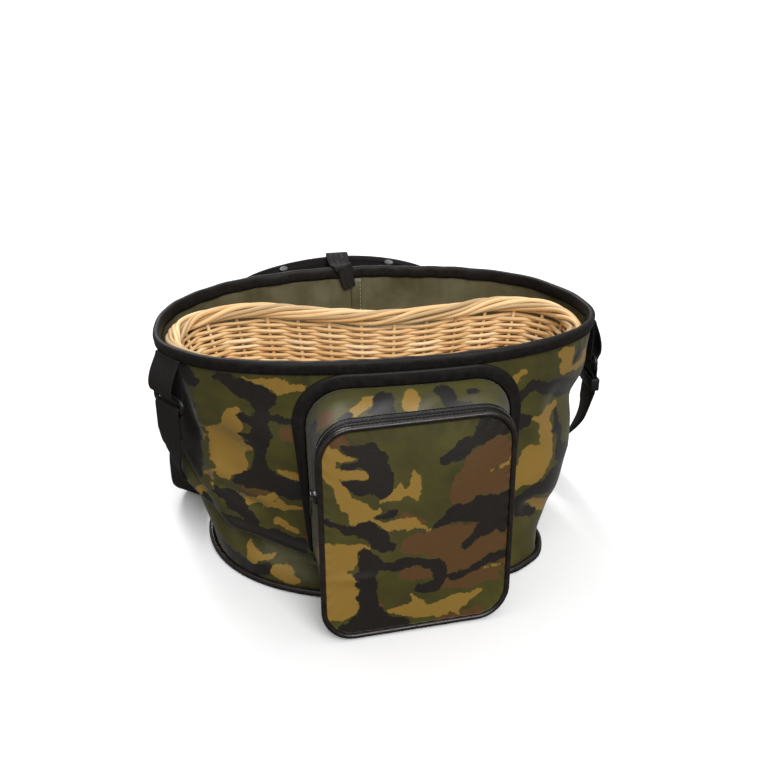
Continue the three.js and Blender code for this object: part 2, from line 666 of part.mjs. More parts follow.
// Grab handle along the back rim: it lies on the binding at its ends and arches away in the middle.
const handleMiddle = Math.PI / 2 + radians(HANDLE_TURN_DEG);
function handleLift(share) {
  return Math.max(Math.cos(share * (Math.PI / 2)), 0) ** HANDLE_FULLNESS;
}
const handleRings = [];
for (let step = 0; step <= HANDLE_STEPS; step += 1) {
  const share = lerp(-1, 1, step / HANDLE_STEPS);
  const angle = handleMiddle + share * radians(HANDLE_HALF_DEG);
  const near = outerLeg + SEAM_GAP + HANDLE_BOW * handleLift(share);
  const top = RIM_HEIGHT + HANDLE_RISE * handleLift(share);
  handleRings.push([
    wallPoint(angle, RIM_HEIGHT, near, top),
    wallPoint(angle, RIM_HEIGHT, near + HANDLE_THICK, top),
    wallPoint(angle, RIM_HEIGHT, near + HANDLE_THICK, top - HANDLE_HEIGHT),
    wallPoint(angle, RIM_HEIGHT, near, top - HANDLE_HEIGHT),
  ]);
}
mushroomBasket.add(piece("carry_handle", loft(handleRings, false), TRIM));

// Rivet heads on the inner face of the handle, just above the rim.
const rivetProfile = new THREE.Path();
rivetProfile.moveTo(0, 0);
rivetProfile.lineTo(RIVET.radius, 0);
rivetProfile.quadraticCurveTo(RIVET.radius, RIVET.height, 0, RIVET.height);
for (const side of [{ name: "left", sign: 1 }, { name: "right", sign: -1 }]) {
  const angle = handleMiddle + side.sign * RIVET_SHARE * radians(HANDLE_HALF_DEG);
  const near = outerLeg + HANDLE_BOW * handleLift(RIVET_SHARE);
  const seat = wallPoint(angle, RIM_HEIGHT, near, RIM_HEIGHT + RIVET.above);
  const bowTurn = side.sign * RIVET_TURN;
  const inwards = seat.clone().sub(wallPoint(angle, RIM_HEIGHT, near + 1, RIM_HEIGHT + RIVET.above));
  inwards.applyAxisAngle(new THREE.Vector3(0, 0, 1), bowTurn).normalize();
  const head = new THREE.LatheGeometry(rivetProfile.getPoints(RIVET.steps), RIVET.sides);
  head.applyQuaternion(new THREE.Quaternion().setFromUnitVectors(new THREE.Vector3(0, 1, 0), inwards));
  head.translate(seat.x, seat.y, seat.z);
  mushroomBasket.add(piece(`handle_rivet_${side.name}`, head, METAL));
}

// Tab of webbing: up the inside, over rim and handle, and back to the wall below the handle.
const tabInner = innerLeg - RIM_GAP - WEB_THICK;
const handleFar = outerLeg + SEAM_GAP + HANDLE_BOW + HANDLE_THICK;
const handleTop = RIM_HEIGHT + HANDLE_RISE;
const tabOver = WEB_THICK / 2 + SEAM_GAP;
const tabStarts = {
  binding: { out: tabInner, z: RIM_HEIGHT },
  rim: { out: 0, z: RIM_HEIGHT },
  crest: { out: handleFar, z: handleTop + tabOver },
  foot: { out: SEAM_GAP + tabOver, z: handleTop - HANDLE_HEIGHT },
};
const tabWay = TAB_WAY.map((row) => {
  const start = tabStarts[row.from];
  return new THREE.Vector2(start.out + row.out, start.z + row.up);
});
const tabSeat = wallPoint(handleMiddle, RIM_HEIGHT);
const tabOut = wallPoint(handleMiddle, RIM_HEIGHT, 1).sub(tabSeat);
const tabUp = new THREE.Vector3(0, 0, 1);
const tabShape = stripShape(tabWay, WEB_THICK);
const tab = new THREE.ExtrudeGeometry(tabShape, { depth: TAB_WIDTH, bevelEnabled: false });
tab.translate(0, 0, -TAB_WIDTH / 2);
const tabAcross = new THREE.Vector3().crossVectors(tabOut, tabUp);
const tabFrame = new THREE.Matrix4().makeBasis(tabOut, tabUp, tabAcross);
tab.applyMatrix4(tabFrame.setPosition(tabSeat.x, tabSeat.y, 0));
mushroomBasket.add(piece("centre_tab", tab, TRIM));

// Willow basket, in a frame turned with it.
const basket = new THREE.Group();
basket.position.set(BASKET_CENTRE.x, BASKET_CENTRE.y, 0);
basket.rotation.z = radians(BASKET_TURN_DEG);
mushroomBasket.add(basket);

// Point of the basket's outer face, moved outwards along the level normal.
function beanPlace(angle, section) {
  const across = Math.cos(angle);
  const along = Math.sin(angle);
  const power = 2 / (along < 0 ? BASKET_SQUARENESS.front : BASKET_SQUARENESS.back);
  const depth = along < 0 ? section.front : section.back;
  const x = section.halfLength * Math.sign(across) * Math.abs(across) ** power;
  let y = depth * Math.sign(along) * Math.abs(along) ** power;
  const beside = Math.abs(x - DENT_CENTRE) / DENT_REACH;
  if (along > 0 && beside < 1) {
    y -= section.dent * Math.cos((beside * Math.PI) / 2) ** 2;
  }
  return new THREE.Vector2(x, y);
}

function beanPoint(angle, z, outwards = 0, height = z) {
  const section = sectionAt(BASKET_SECTIONS, z);
  const step = BEAN_NORMAL_STEP;
  const here = beanPlace(angle, section);
  const run = beanPlace(angle + step, section).sub(beanPlace(angle - step, section)).normalize();
  return new THREE.Vector3(here.x + outwards * run.y, here.y - outwards * run.x, height);
}

// The border lies lower along the front, lowest in its middle.
function borderTop(angle) {
  return BORDER_TOP - BORDER_DROP.depth * Math.max(0, -Math.sin(angle)) ** BORDER_DROP.power;
}

// Floor of the basket, on the bottom panel of the cover.
const floorZ = BASE_THICK + SEAM_GAP;
const floorOutline = [];
for (let step = 0; step < BASKET_AROUND; step += 1) {
  const edge = beanPoint((step / BASKET_AROUND) * 2 * Math.PI, floorZ);
  floorOutline.push(new THREE.Vector2(edge.x, edge.y));
}
const floorPlate = new THREE.ExtrudeGeometry(
  new THREE.Shape(floorOutline), { depth: BASKET_FLOOR, bevelEnabled: false },
);
floorPlate.translate(0, 0, floorZ);
basket.add(piece("basket_base", floorPlate, WILLOW));

// Woven wall from the floor to the border.
const weaveFoot = floorZ + BASKET_FLOOR + SEAM_GAP;
const weaveWall = ringSolid(BASKET_AROUND, (angle) => {
  const weaveTop = borderTop(angle) - 2 * BORDER_RADIUS - SEAM_GAP;
  const section = [];
  for (let row = 0; row < BASKET_ROWS; row += 1) {
    section.push(beanPoint(angle, lerp(weaveFoot, weaveTop, row / (BASKET_ROWS - 1))));
  }
  for (let row = BASKET_ROWS - 1; row >= 0; row -= 1) {
    section.push(beanPoint(angle, lerp(weaveFoot, weaveTop, row / (BASKET_ROWS - 1)), -WICKER_THICK));
  }
  return section;
});
basket.add(piece("basket_wall", weaveWall, WILLOW));

// Border of rolled rods.
const borderSides = 8;
const border = ringSolid(BASKET_AROUND, (angle) => {
  const section = [];
  for (let side = 0; side < borderSides; side += 1) {
    const turn = (side / borderSides) * 2 * Math.PI;
    const outwards = -WICKER_THICK / 2 + BORDER_RADIUS * Math.cos(turn);
    const middle = borderTop(angle) - BORDER_RADIUS;
    section.push(beanPoint(angle, middle, outwards, middle + BORDER_RADIUS * Math.sin(turn)));
  }
  return section;
});
basket.add(piece("basket_border", border, WILLOW));

export default mushroomBasket;
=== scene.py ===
import math

import bmesh
import bpy
import numpy as np
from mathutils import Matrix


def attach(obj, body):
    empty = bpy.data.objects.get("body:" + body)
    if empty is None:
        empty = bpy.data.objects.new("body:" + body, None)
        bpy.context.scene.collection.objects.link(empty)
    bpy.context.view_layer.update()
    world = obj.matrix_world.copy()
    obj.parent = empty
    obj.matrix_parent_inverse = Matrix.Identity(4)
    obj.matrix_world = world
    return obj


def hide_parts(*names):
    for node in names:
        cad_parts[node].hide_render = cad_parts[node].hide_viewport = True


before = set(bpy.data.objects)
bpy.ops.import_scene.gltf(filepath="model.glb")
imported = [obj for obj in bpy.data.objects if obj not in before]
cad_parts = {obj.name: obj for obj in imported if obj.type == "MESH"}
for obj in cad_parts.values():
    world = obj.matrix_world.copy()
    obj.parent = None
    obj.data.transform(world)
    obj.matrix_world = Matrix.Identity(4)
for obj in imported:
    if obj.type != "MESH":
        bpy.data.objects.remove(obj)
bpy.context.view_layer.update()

# Woven wall of the basket: peeled willow rods worked in front of one upright stake and behind the next,
# every row the other way round from the row below. It stands free inside the cover.
MM = 0.001
UP = np.array([0.0, 0.0, 1.0])
BASKET_LEVELS = {
    "z": [0, 60, 222],
    "half_length": [152, 162, 202],
    "front": [54, 58, 66],
    "back": [78, 83, 92],
    "dent": [32, 35, 45],
}
FRONT_SQUARENESS = 2.3
BACK_SQUARENESS = 3.0
BASKET_MIDDLE = (-3.5, -13.0)
BASKET_TURN = math.radians(-3)
DENT_CENTRE = 15
DENT_REACH = 170
WICKER_THICK = 8
WEAVE_FOOT = 13.4
WEAVE_TOP = 207.5
BORDER_DROP = 9
DROP_POWER = 1.3
ROW_PITCH = 3.3
ROW_WAVER = (0.08, 0.22)
WAVER_TURNS = (3, 7, 11, 19)
STAKES = 29
STAKE_RADIUS = 1.9
STAKE_TUCK = 8
STAKE_STEPS = 24
STEPS_PER_STAKE = 8
WEAVER_RADIUS = (1.9, 2.2)
WEAVER_TAPER = 0.14
WEAVER_TINT = (0.4, 1)
WEAVER_SWING = 2.5
WEAVE_START = 0.72
SPACING_Z = 115.0
GRAIN_SHIFT = 173.0
weave_rng = np.random.default_rng(11)


def stacked(*columns):
    return np.stack(np.broadcast_arrays(*columns), -1)


def unit(vectors):
    return vectors / np.linalg.norm(vectors, axis=-1, keepdims=True)


def run_of(way):
    return np.concatenate([[0], np.cumsum(np.linalg.norm(np.diff(way, axis=0), axis=1))])


def levels_at(table, z):
    return {key: np.interp(z, table["z"], table[key]) for key in table}


def basket_edge(angle, size):
    across, along = np.cos(angle), np.sin(angle)
    power = 2 / np.where(along < 0, FRONT_SQUARENESS, BACK_SQUARENESS)
    depth = np.where(along < 0, size["front"], size["back"])
    x = size["half_length"] * np.sign(across) * np.abs(across) ** power
    y = depth * np.sign(along) * np.abs(along) ** power
    beside = np.minimum(np.abs(x - DENT_CENTRE) / DENT_REACH, 1)
    return x, y - np.where(along > 0, size["dent"] * np.cos(beside * np.pi / 2) ** 2, 0)


def basket_point(angle, z, out=0.0, height=None):
    size = levels_at(BASKET_LEVELS, z)
    step = 0.06
    x, y = basket_edge(angle, size)
    ahead = basket_edge(angle + step, size)
    behind = basket_edge(angle - step, size)
    run_x, run_y = ahead[0] - behind[0], ahead[1] - behind[1]
    run = np.hypot(run_x, run_y)
    x = x + out * run_y / run
    y = y - out * run_x / run
    turned_x = BASKET_MIDDLE[0] + x * math.cos(BASKET_TURN) - y * math.sin(BASKET_TURN)
    turned_y = BASKET_MIDDLE[1] + x * math.sin(BASKET_TURN) + y * math.cos(BASKET_TURN)
    return stacked(turned_x, turned_y, z if height is None else height)


def border_drop(angle):
    return BORDER_DROP * np.maximum(0, -np.sin(angle)) ** DROP_POWER


dense_angles = np.linspace(0, 2 * np.pi, 1441)
dense_run = run_of(basket_point(dense_angles, SPACING_Z))
dense_share = dense_run / dense_run[-1]


def basket_angle(share):
    return np.interp(np.asarray(share) % 1, dense_share, dense_angles)


def mesh_piece(name, points, faces):
    mesh = bpy.data.meshes.new(name)
    mesh.from_pydata((np.asarray(points) * MM).tolist(), [], faces)
    mesh.shade_smooth()
    piece = bpy.data.objects.new(name, mesh)
    bpy.context.collection.objects.link(piece)
    return piece


def point_values(piece, name, values):
    values = np.asarray(values, np.float32)
    kind, field = ("FLOAT", "value") if values.ndim == 1 else ("FLOAT_VECTOR", "vector")
    piece.data.attributes.new(name, kind, "POINT").data.foreach_set(field, values.ravel())


def grid_faces(rows, columns, wrap_rows, wrap_columns, start=0):
    index = start + np.arange(rows * columns).reshape(rows, columns)
    if wrap_rows:
        index = np.concatenate([index, index[:1]])
    if wrap_columns:
        index = np.concatenate([index, index[:, :1]], axis=1)
    quads = np.stack([index[:-1, :-1], index[:-1, 1:], index[1:, 1:], index[1:, :-1]], -1)
    return quads.reshape(-1, 4)


def rods(name, ways, radii, sides=6, looped=False, tints=None, upright=UP):
    points, faces, grain, tint = [], [], [], []
    turn = np.linspace(0, 2 * np.pi, sides, endpoint=False)
    start = 0
    for place, (way, radius) in enumerate(zip(ways, radii)):
        way = np.asarray(way, float)
        if looped:
            ahead = unit(np.roll(way, -1, 0) - np.roll(way, 1, 0))
        else:
            ahead = unit(np.gradient(way, axis=0))
        side = unit(np.cross(ahead, upright))
        lift = np.cross(side, ahead)
        radius = np.broadcast_to(radius, len(way))[:, None]
        across, along = radius * np.cos(turn), radius * np.sin(turn)
        spoke = across[:, :, None] * side[:, None] + along[:, :, None] * lift[:, None]
        points.append((way[:, None] + spoke).reshape(-1, 3))
        faces.extend(grid_faces(len(way), sides, looped, True, start)[:, ::-1].tolist())
        if not looped:
            last = start + (len(way) - 1) * sides
            faces.append(list(range(start, start + sides)))
            faces.append(list(range(last + sides - 1, last - 1, -1)))
        run = run_of(way)[:, None] + GRAIN_SHIFT * place
        grain.append(stacked(run, across, along).reshape(-1, 3))
        tint.append(np.full(len(way) * sides, 0.5 if tints is None else tints[place]))
        start += len(way) * sides
    piece = mesh_piece(name, np.concatenate(points), faces)
    point_values(piece, "grain", np.concatenate(grain))
    point_values(piece, "tint", np.concatenate(tint))
    return piece


def linear(red, green, blue):
    share = np.array([red, green, blue]) / 255
    value = np.where(share <= 0.04045, share / 12.92, ((share + 0.055) / 1.055) ** 2.4)
    return (*value.tolist(), 1.0)


def place(tree, kind, inputs=None, **fields):
    made = tree.nodes.new("ShaderNode" + kind)
    for key, value in fields.items():
        setattr(made, key, value)
    for key, value in (inputs or {}).items():
        if isinstance(value, bpy.types.NodeSocket):
            tree.links.new(value, made.inputs[key])
        else:
            made.inputs[key].default_value = value
    return made


def mix(tree, share, first, second, way="MIX"):
    made = place(tree, "Mix", {0: share, 6: first, 7: second}, data_type="RGBA", blend_type=way)
    return made.outputs[2]


def math_node(tree, work, first, second=0.0):
    return place(tree, "Math", {0: first, 1: second}, operation=work).outputs[0]


def span(tree, value, low, high, to_low=0.0, to_high=1.0):
    made = place(tree, "MapRange", {
        "Value": value, "From Min": low, "From Max": high, "To Min": to_low, "To Max": to_high})
    return made.outputs[0]


def ramp(tree, share, stops):
    made = place(tree, "ValToRGB", {0: share})
    bar = made.color_ramp.elements
    while len(bar) < len(stops):
        bar.new(0.5)
    for element, (where, colour) in zip(bar, stops):
        element.position = where
        element.color = colour
    return made.outputs[0]


def noise(tree, vector, scale, detail=2.0, rough=0.5):
    return place(tree, "TexNoise", {
        "Vector": vector, "Scale": scale, "Detail": detail, "Roughness": rough}).outputs[0]


def read(tree, name, kind="Vector"):
    return place(tree, "Attribute", attribute_name=name).outputs[kind]


def scaled(tree, vector, scale):
    return place(tree, "Mapping", {"Vector": vector, "Scale": scale}).outputs[0]


def bump(tree, height, strength, distance, target):
    made = place(tree, "Bump", {"Height": height, "Strength": strength, "Distance": distance})
    tree.links.new(made.outputs[0], target.inputs["Normal"])


def finish(name, **sockets):
    material = bpy.data.materials.new(name)
    material.use_nodes = True
    shader = material.node_tree.nodes["Principled BSDF"]
    for key, value in sockets.items():
        shader.inputs[key.replace("_", " ")].default_value = value
    return material, material.node_tree, shader


def feed(tree, shader, **values):
    for key, value in values.items():
        tree.links.new(value, shader.inputs[key.replace("_", " ")])


def dress(piece, material, slot, *nodes):
    piece.data.materials.append(material)
    if nodes:
        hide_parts(*nodes)
    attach(piece, "root")


willow, tree, shader = finish("peeled_willow")
grain = read(tree, "grain")
streaks = noise(tree, scaled(tree, grain, (0.02, 0.6, 0.6)), 1.0, 5.0, 0.6)
blotches = noise(tree, scaled(tree, grain, (0.03, 0.1, 0.1)), 1.0, 3.0)
rod_tone = ramp(tree, read(tree, "tint", "Fac"), [
    (0.0, linear(176, 148, 106)), (0.3, linear(196, 164, 118)), (0.4, linear(219, 178, 122)),
    (0.7, linear(232, 198, 146)), (1.0, linear(240, 216, 174))])
streaked = mix(tree, span(tree, streaks, 0.52, 0.75, 0.0, 0.55), rod_tone, linear(170, 118, 62))
weathered = mix(tree, span(tree, blotches, 0.58, 0.72, 0.0, 0.5), streaked, linear(190, 140, 84))
feed(tree, shader, Base_Color=weathered, Roughness=span(tree, streaks, 0.3, 0.7, 0.42, 0.62))
bump(tree, streaks, 0.25, 0.0004, shader)

weaver_ways, weaver_radii = [], []
weave_rows = int((WEAVE_TOP - WEAVE_FOOT) / ROW_PITCH)
row_share = np.arange(STAKES * STEPS_PER_STAKE + 1) / (STAKES * STEPS_PER_STAKE)
for row in range(weave_rows):
    waver = sum(
        weave_rng.uniform(*ROW_WAVER) * np.sin(2 * np.pi * turns * row_share) for turns in WAVER_TURNS)
    row_angle = basket_angle(row_share + WEAVE_START)
    climb = (row + row_share) / (weave_rows + 1)
    height = WEAVE_FOOT + (WEAVE_TOP - WEAVE_FOOT - border_drop(row_angle)) * climb + waver
    swing = WEAVER_SWING * np.cos(np.pi * STAKES * (row_share + row))
    weaver_ways.append(basket_point(row_angle, height, -WICKER_THICK / 2 + swing))
    taper = WEAVER_TAPER * np.sin(2 * np.pi * row_share) * weave_rng.choice([-1, 1])
    weaver_radii.append(weave_rng.uniform(*WEAVER_RADIUS) * (1 + taper))
weaver_tints = weave_rng.uniform(*WEAVER_TINT, weave_rows)
weavers = rods("basket_weave", weaver_ways, weaver_radii, tints=weaver_tints)
dress(weavers, willow, "willow", "basket_wall")

stake_ways = []
for stake in range(STAKES):
    stake_angle = basket_angle(stake / STAKES + WEAVE_START)
    stake_top = WEAVE_TOP + STAKE_TUCK - border_drop(stake_angle)
    climb = np.linspace(WEAVE_FOOT - STAKE_TUCK, stake_top, STAKE_STEPS)
    stake_ways.append(basket_point(stake_angle, climb, -WICKER_THICK / 2))
stakes = rods(
    "basket_stakes", stake_ways, [STAKE_RADIUS] * STAKES, sides=8, tints=weave_rng.random(STAKES),
    upright=UP[[2, 0, 1]])
dress(stakes, willow, "willow")

# Border of the basket: the tops of the stakes bent over and laid round each other, so that thick rods
# wind along the edge like a rope. Its ends are tucked in under the next rods.
BORDER_TOP = 223
BORDER_RADIUS = 8.3
BORDER_CORE = 3.4
# The core rod shows only in the gaps between the outer rods, and its darkest tint is painted shade in those
# gaps.
BORDER_CORE_SHADE_TINT = 0.0
BORDER_RODS = 7
BORDER_ROD_RADIUS = 2.35
BORDER_ROD_TAPER = 0.3
BORDER_ROD_TINTS = (0.1, 0.7)
BORDER_TURNS = 5
BORDER_STEPS = 300
BORDER_LAY = 5.7
LAY_WANDER = 0.5
START_WANDER = 0.02
WIND_WANDER = 0.2
border_share = np.arange(BORDER_STEPS) / BORDER_STEPS
border_angle = basket_angle(border_share)
border_middle = BORDER_TOP - BORDER_RADIUS - border_drop(border_angle)


def border_wave(turns):
    return np.cos(2 * np.pi * (turns * border_share + weave_rng.random()))


border_ways = [basket_point(border_angle, border_middle, -WICKER_THICK / 2)]
border_radii = [np.full(BORDER_STEPS, BORDER_CORE)]
for rod in range(BORDER_RODS):
    start = rod / BORDER_RODS + weave_rng.uniform(-START_WANDER, START_WANDER)
    wander = sum(WIND_WANDER * border_wave(turns) for turns in (2, 5, 9))
    wind = 2 * np.pi * (BORDER_TURNS * border_share + start) + wander
    lay = BORDER_LAY + LAY_WANDER * border_wave(7)
    border_ways.append(basket_point(
        border_angle, border_middle, -WICKER_THICK / 2 + lay * np.cos(wind),
        border_middle + lay * np.sin(wind)))
    border_radii.append(BORDER_ROD_RADIUS + BORDER_ROD_TAPER * border_wave(3))
# Random tints for the outer rods, after the core's darkest tint, which is painted shade in the gaps.
border_tints_and_gap_shade = [BORDER_CORE_SHADE_TINT, *weave_rng.permutation(np.linspace(*BORDER_ROD_TINTS, BORDER_RODS))]
border = rods("basket_border_rods", border_ways, border_radii, sides=10, looped=True, tints=border_tints_and_gap_shade)
dress(border, willow, "willow", "basket_border")

# Floor of the basket: straight sticks across the short way with thinner rods woven along, cut off at the
# wall. It lies on the bottom panel of the cover.
FLOOR_Z = 6.9
FLOOR_PITCH = 4.1
FLOOR_STEP = 4.75
FLOOR_SWING = 1.6
FLOOR_ROD_RADIUS = 1.9
STICK_PITCH = 38
STICK_RADIUS = 2.4
STICK_STEPS = 60
STICKS_BESIDE = 4
FEWEST_POINTS = 3
floor_edge = basket_point(dense_angles, 4.0, -3.0)
floor_low, floor_high = floor_edge.min(axis=0), floor_edge.max(axis=0)
floor_ways = []


def inside_outline(x, y, outline):
    x0, y0 = outline[:-1, 0], outline[:-1, 1]
    x1, y1 = outline[1:, 0], outline[1:, 1]
    spans_y = (y0 > y) != (y1 > y)
    cross = x0 + (y - y0) / np.where(y1 == y0, 1, y1 - y0) * (x1 - x0)
    return (spans_y & (np.asarray(x)[..., None] < cross)).sum(-1) % 2 == 1


for row, y in enumerate(np.arange(floor_low[1] + 2, floor_high[1], FLOOR_PITCH)):
    x = np.arange(floor_low[0], floor_high[0], FLOOR_STEP)
    kept = inside_outline(x, y, floor_edge)
    swing = FLOOR_SWING * np.cos(np.pi * (x / STICK_PITCH + row))
    way = stacked(x, y, FLOOR_Z + swing)
    for run in np.split(np.arange(len(x)), np.flatnonzero(np.diff(kept.astype(int))) + 1):
        if kept[run[0]] and len(run) > FEWEST_POINTS:
            floor_ways.append(way[run])
floor_rods = len(floor_ways)
for x in np.arange(-STICKS_BESIDE, STICKS_BESIDE + 1) * STICK_PITCH:
    y = np.linspace(floor_low[1], floor_high[1], STICK_STEPS)
    kept = np.array([inside_outline(x, value, floor_edge) for value in y])
    if kept.sum() > FEWEST_POINTS:
        floor_ways.append(stacked(float(x), y[kept], FLOOR_Z))
floor_radii = [FLOOR_ROD_RADIUS] * floor_rods + [STICK_RADIUS] * (len(floor_ways) - floor_rods)
basket_floor = rods("basket_floor", floor_ways, floor_radii, tints=weave_rng.random(len(floor_ways)))
dress(basket_floor, willow, "willow", "basket_base")

# Sleeve of the cover: one width of coated polyester, printed with woodland camouflage outside and plain
# olive inside, sewn to a tube. It stands on its bottom seam and leans on the basket near the rim.
WALL_LEVELS = {
    "z": [0, 22, 50, 90, 135, 182, 228],
    "half_length": [174, 179, 189, 199, 203, 209, 215],
    "front": [137, 132, 125, 118, 112, 106, 103],
    "back": [118, 117, 120, 127, 135, 142, 147],
    "ends_y": [-5, -5, -5, -5, -3, -1, 0],
    "squareness": [2.15, 2.15, 2.15, 2.2, 2.25, 2.3, 2.3],
}
WALL_FOLDS = """
    from_deg from_z to_deg to_z width depth
    186  66 233  30 13 7
    206 130 222  80 26 4
    338 150 352 140 24 8
    344   5 376   5 22 15
    316   2 324   2 22 -9
     70 120 110 110 50 8
     22 240  58 240 60 8
"""
FOLD_RADIUS = 175
RIM_HEIGHT = 228
CLOTH_THICK = 1.6
WALL_COLUMNS = 600
WALL_ROWS = 112
INNER_ROWS = 18
CLOTH_FOOT = 3.0


def rows_of(text):
    lines = [line.split() for line in text.strip().splitlines()]
    rows = [[word if word.isalpha() else float(word) for word in line] for line in lines[1:]]
    return [dict(zip(lines[0], row)) for row in rows]


def beside_line(row, angle, z):
    turn = (angle - math.radians(row["from_deg"]) + np.pi) % (2 * np.pi) - np.pi
    run_s = math.radians(row["to_deg"] - row["from_deg"]) * FOLD_RADIUS
    return turn * FOLD_RADIUS, z - row["from_z"], run_s, row["to_z"] - row["from_z"]


def wall_radius(angle, z):
    size = levels_at(WALL_LEVELS, z)
    depth = np.where(np.sin(angle) < 0, size["front"], size["back"])
    power = size["squareness"]
    reach = np.abs(np.cos(angle) / size["half_length"]) ** power + np.abs(np.sin(angle) / depth) ** power
    reach = reach ** (-1 / power)
    for fold in rows_of(WALL_FOLDS):
        here_s, here_z, run_s, run_z = beside_line(fold, angle, z)
        share = np.clip((here_s * run_s + here_z * run_z) / (run_s ** 2 + run_z ** 2), 0, 1)
        away = np.hypot(here_s - run_s * share, here_z - run_z * share) / fold["width"]
        reach = reach - fold["depth"] * np.exp(-away * away)
    return reach


def wall_point(angle, z, out=0.0, height=None):
    level = np.minimum(z, RIM_HEIGHT)
    step = 0.01
    near, here, far = (wall_radius(angle + side * step, level) for side in (-1, 0, 1))
    run_x = far * np.cos(angle + step) - near * np.cos(angle - step)
    run_y = far * np.sin(angle + step) - near * np.sin(angle - step)
    run = np.hypot(run_x, run_y)
    x = here * np.cos(angle) + out * run_y / run
    y = levels_at(WALL_LEVELS, level)["ends_y"] + here * np.sin(angle) - out * run_x / run
    return stacked(x, y, z if height is None else height)


# Small buckles of the stiff cloth, which die away behind the pocket, and puckers along both seams.
BUCKLES = 12
BUCKLE_TURNS = (3, 22)
BUCKLE_CLIMB = 0.05
BUCKLE_HEIGHT = (0.15, 0.4)
POCKET_FROM_DEG = 240
POCKET_TO_DEG = 318
POCKET_FADE_DEG = 6
RIM_CALM = 16
RIM_FADE = 30
FOOT_CALM = 4
FOOT_FADE = 20
PUCKER_HEIGHT = 0.5
PUCKER_WANDER = 3
SEAM_PUCKERS = """
    z reach turns wander_turns
    212 7 88 5
    0 8 74 7
"""
buckle_rng = np.random.default_rng(5)
buckles = [
    (buckle_rng.integers(*BUCKLE_TURNS), buckle_rng.uniform(-BUCKLE_CLIMB, BUCKLE_CLIMB),
     buckle_rng.random() * 2 * np.pi, buckle_rng.uniform(*BUCKLE_HEIGHT)) for _ in range(BUCKLES)]

# Creases are sharp under the overhanging side and soft below it, with a roll of cloth above them; a
# negative depth makes a ridge.
CREASES = """
    from_deg from_z to_deg to_z over under depth
    180  78 206  47  4 16  8
    206  47 243  24  4 15 10
    199 192 202  92  7  9 -3
    194 190 196 150 10 12  5
    185 140 187  84 14 14 -3
    190 104 198  74  4  7  3
    202 100 214  84  5  9  3
    206 150 226 120  9 14  2.5
    324  58 346  36  9 16  2.5
    338 164 354 146 10 18  2
    328 116 350 108 12 18  1.2
    318 206 336 176  9 14  1
     60 150 110 120 16 24  5
    100  60 150  40  8 18  5
     20  90  52  60  8 18  5
"""
CREASE_END = 14
ROLL_SHARE = 0.45
ROLL_ABOVE = 2.6
ROLL_WIDTH = 1.6


def crease_depth(angle, z):
    depth = 0.0
    for crease in rows_of(CREASES):
        here_s, here_z, run_s, run_z = beside_line(crease, angle, z)
        long = math.hypot(run_s, run_z)
        share = (here_s * run_s + here_z * run_z) / long ** 2
        above = (here_z * run_s - here_s * run_z) / long
        past = np.maximum(np.maximum(-share, share - 1), 0) * long
        ends = np.exp(-(past / CREASE_END) ** 2)
        over, under = crease["over"], crease["under"]
        valley = np.exp(-(above / np.where(above > 0, over, under)) ** 2)
        roll = ROLL_SHARE * np.exp(-((above - ROLL_ABOVE * over) / (ROLL_WIDTH * over)) ** 2)
        depth = depth + crease["depth"] * ends * (roll - valley)
    return depth


def wavering(angle, turns, wander, wander_turns):
    return np.cos(turns * angle + wander * np.cos(wander_turns * angle))


def wall_buckle(angle, z):
    swell = sum(tall * np.cos(turns * angle + climb * z + start) for turns, climb, start, tall in buckles)
    swell = swell + crease_depth(angle, z)
    degrees = np.degrees(angle) % 360
    beside = np.clip(np.maximum(POCKET_FROM_DEG - degrees, degrees - POCKET_TO_DEG) / POCKET_FADE_DEG, 0, 1)
    swell = swell * np.clip((RIM_HEIGHT - RIM_CALM - z) / RIM_FADE, 0, 1)
    swell = swell * np.clip((z - FOOT_CALM) / FOOT_FADE, 0, 1)
    for seam in rows_of(SEAM_PUCKERS):
        gather = wavering(angle, seam["turns"], PUCKER_WANDER, seam["wander_turns"])
        swell = swell + PUCKER_HEIGHT * np.exp(-np.abs(z - seam["z"]) / seam["reach"]) * gather
    return swell * beside
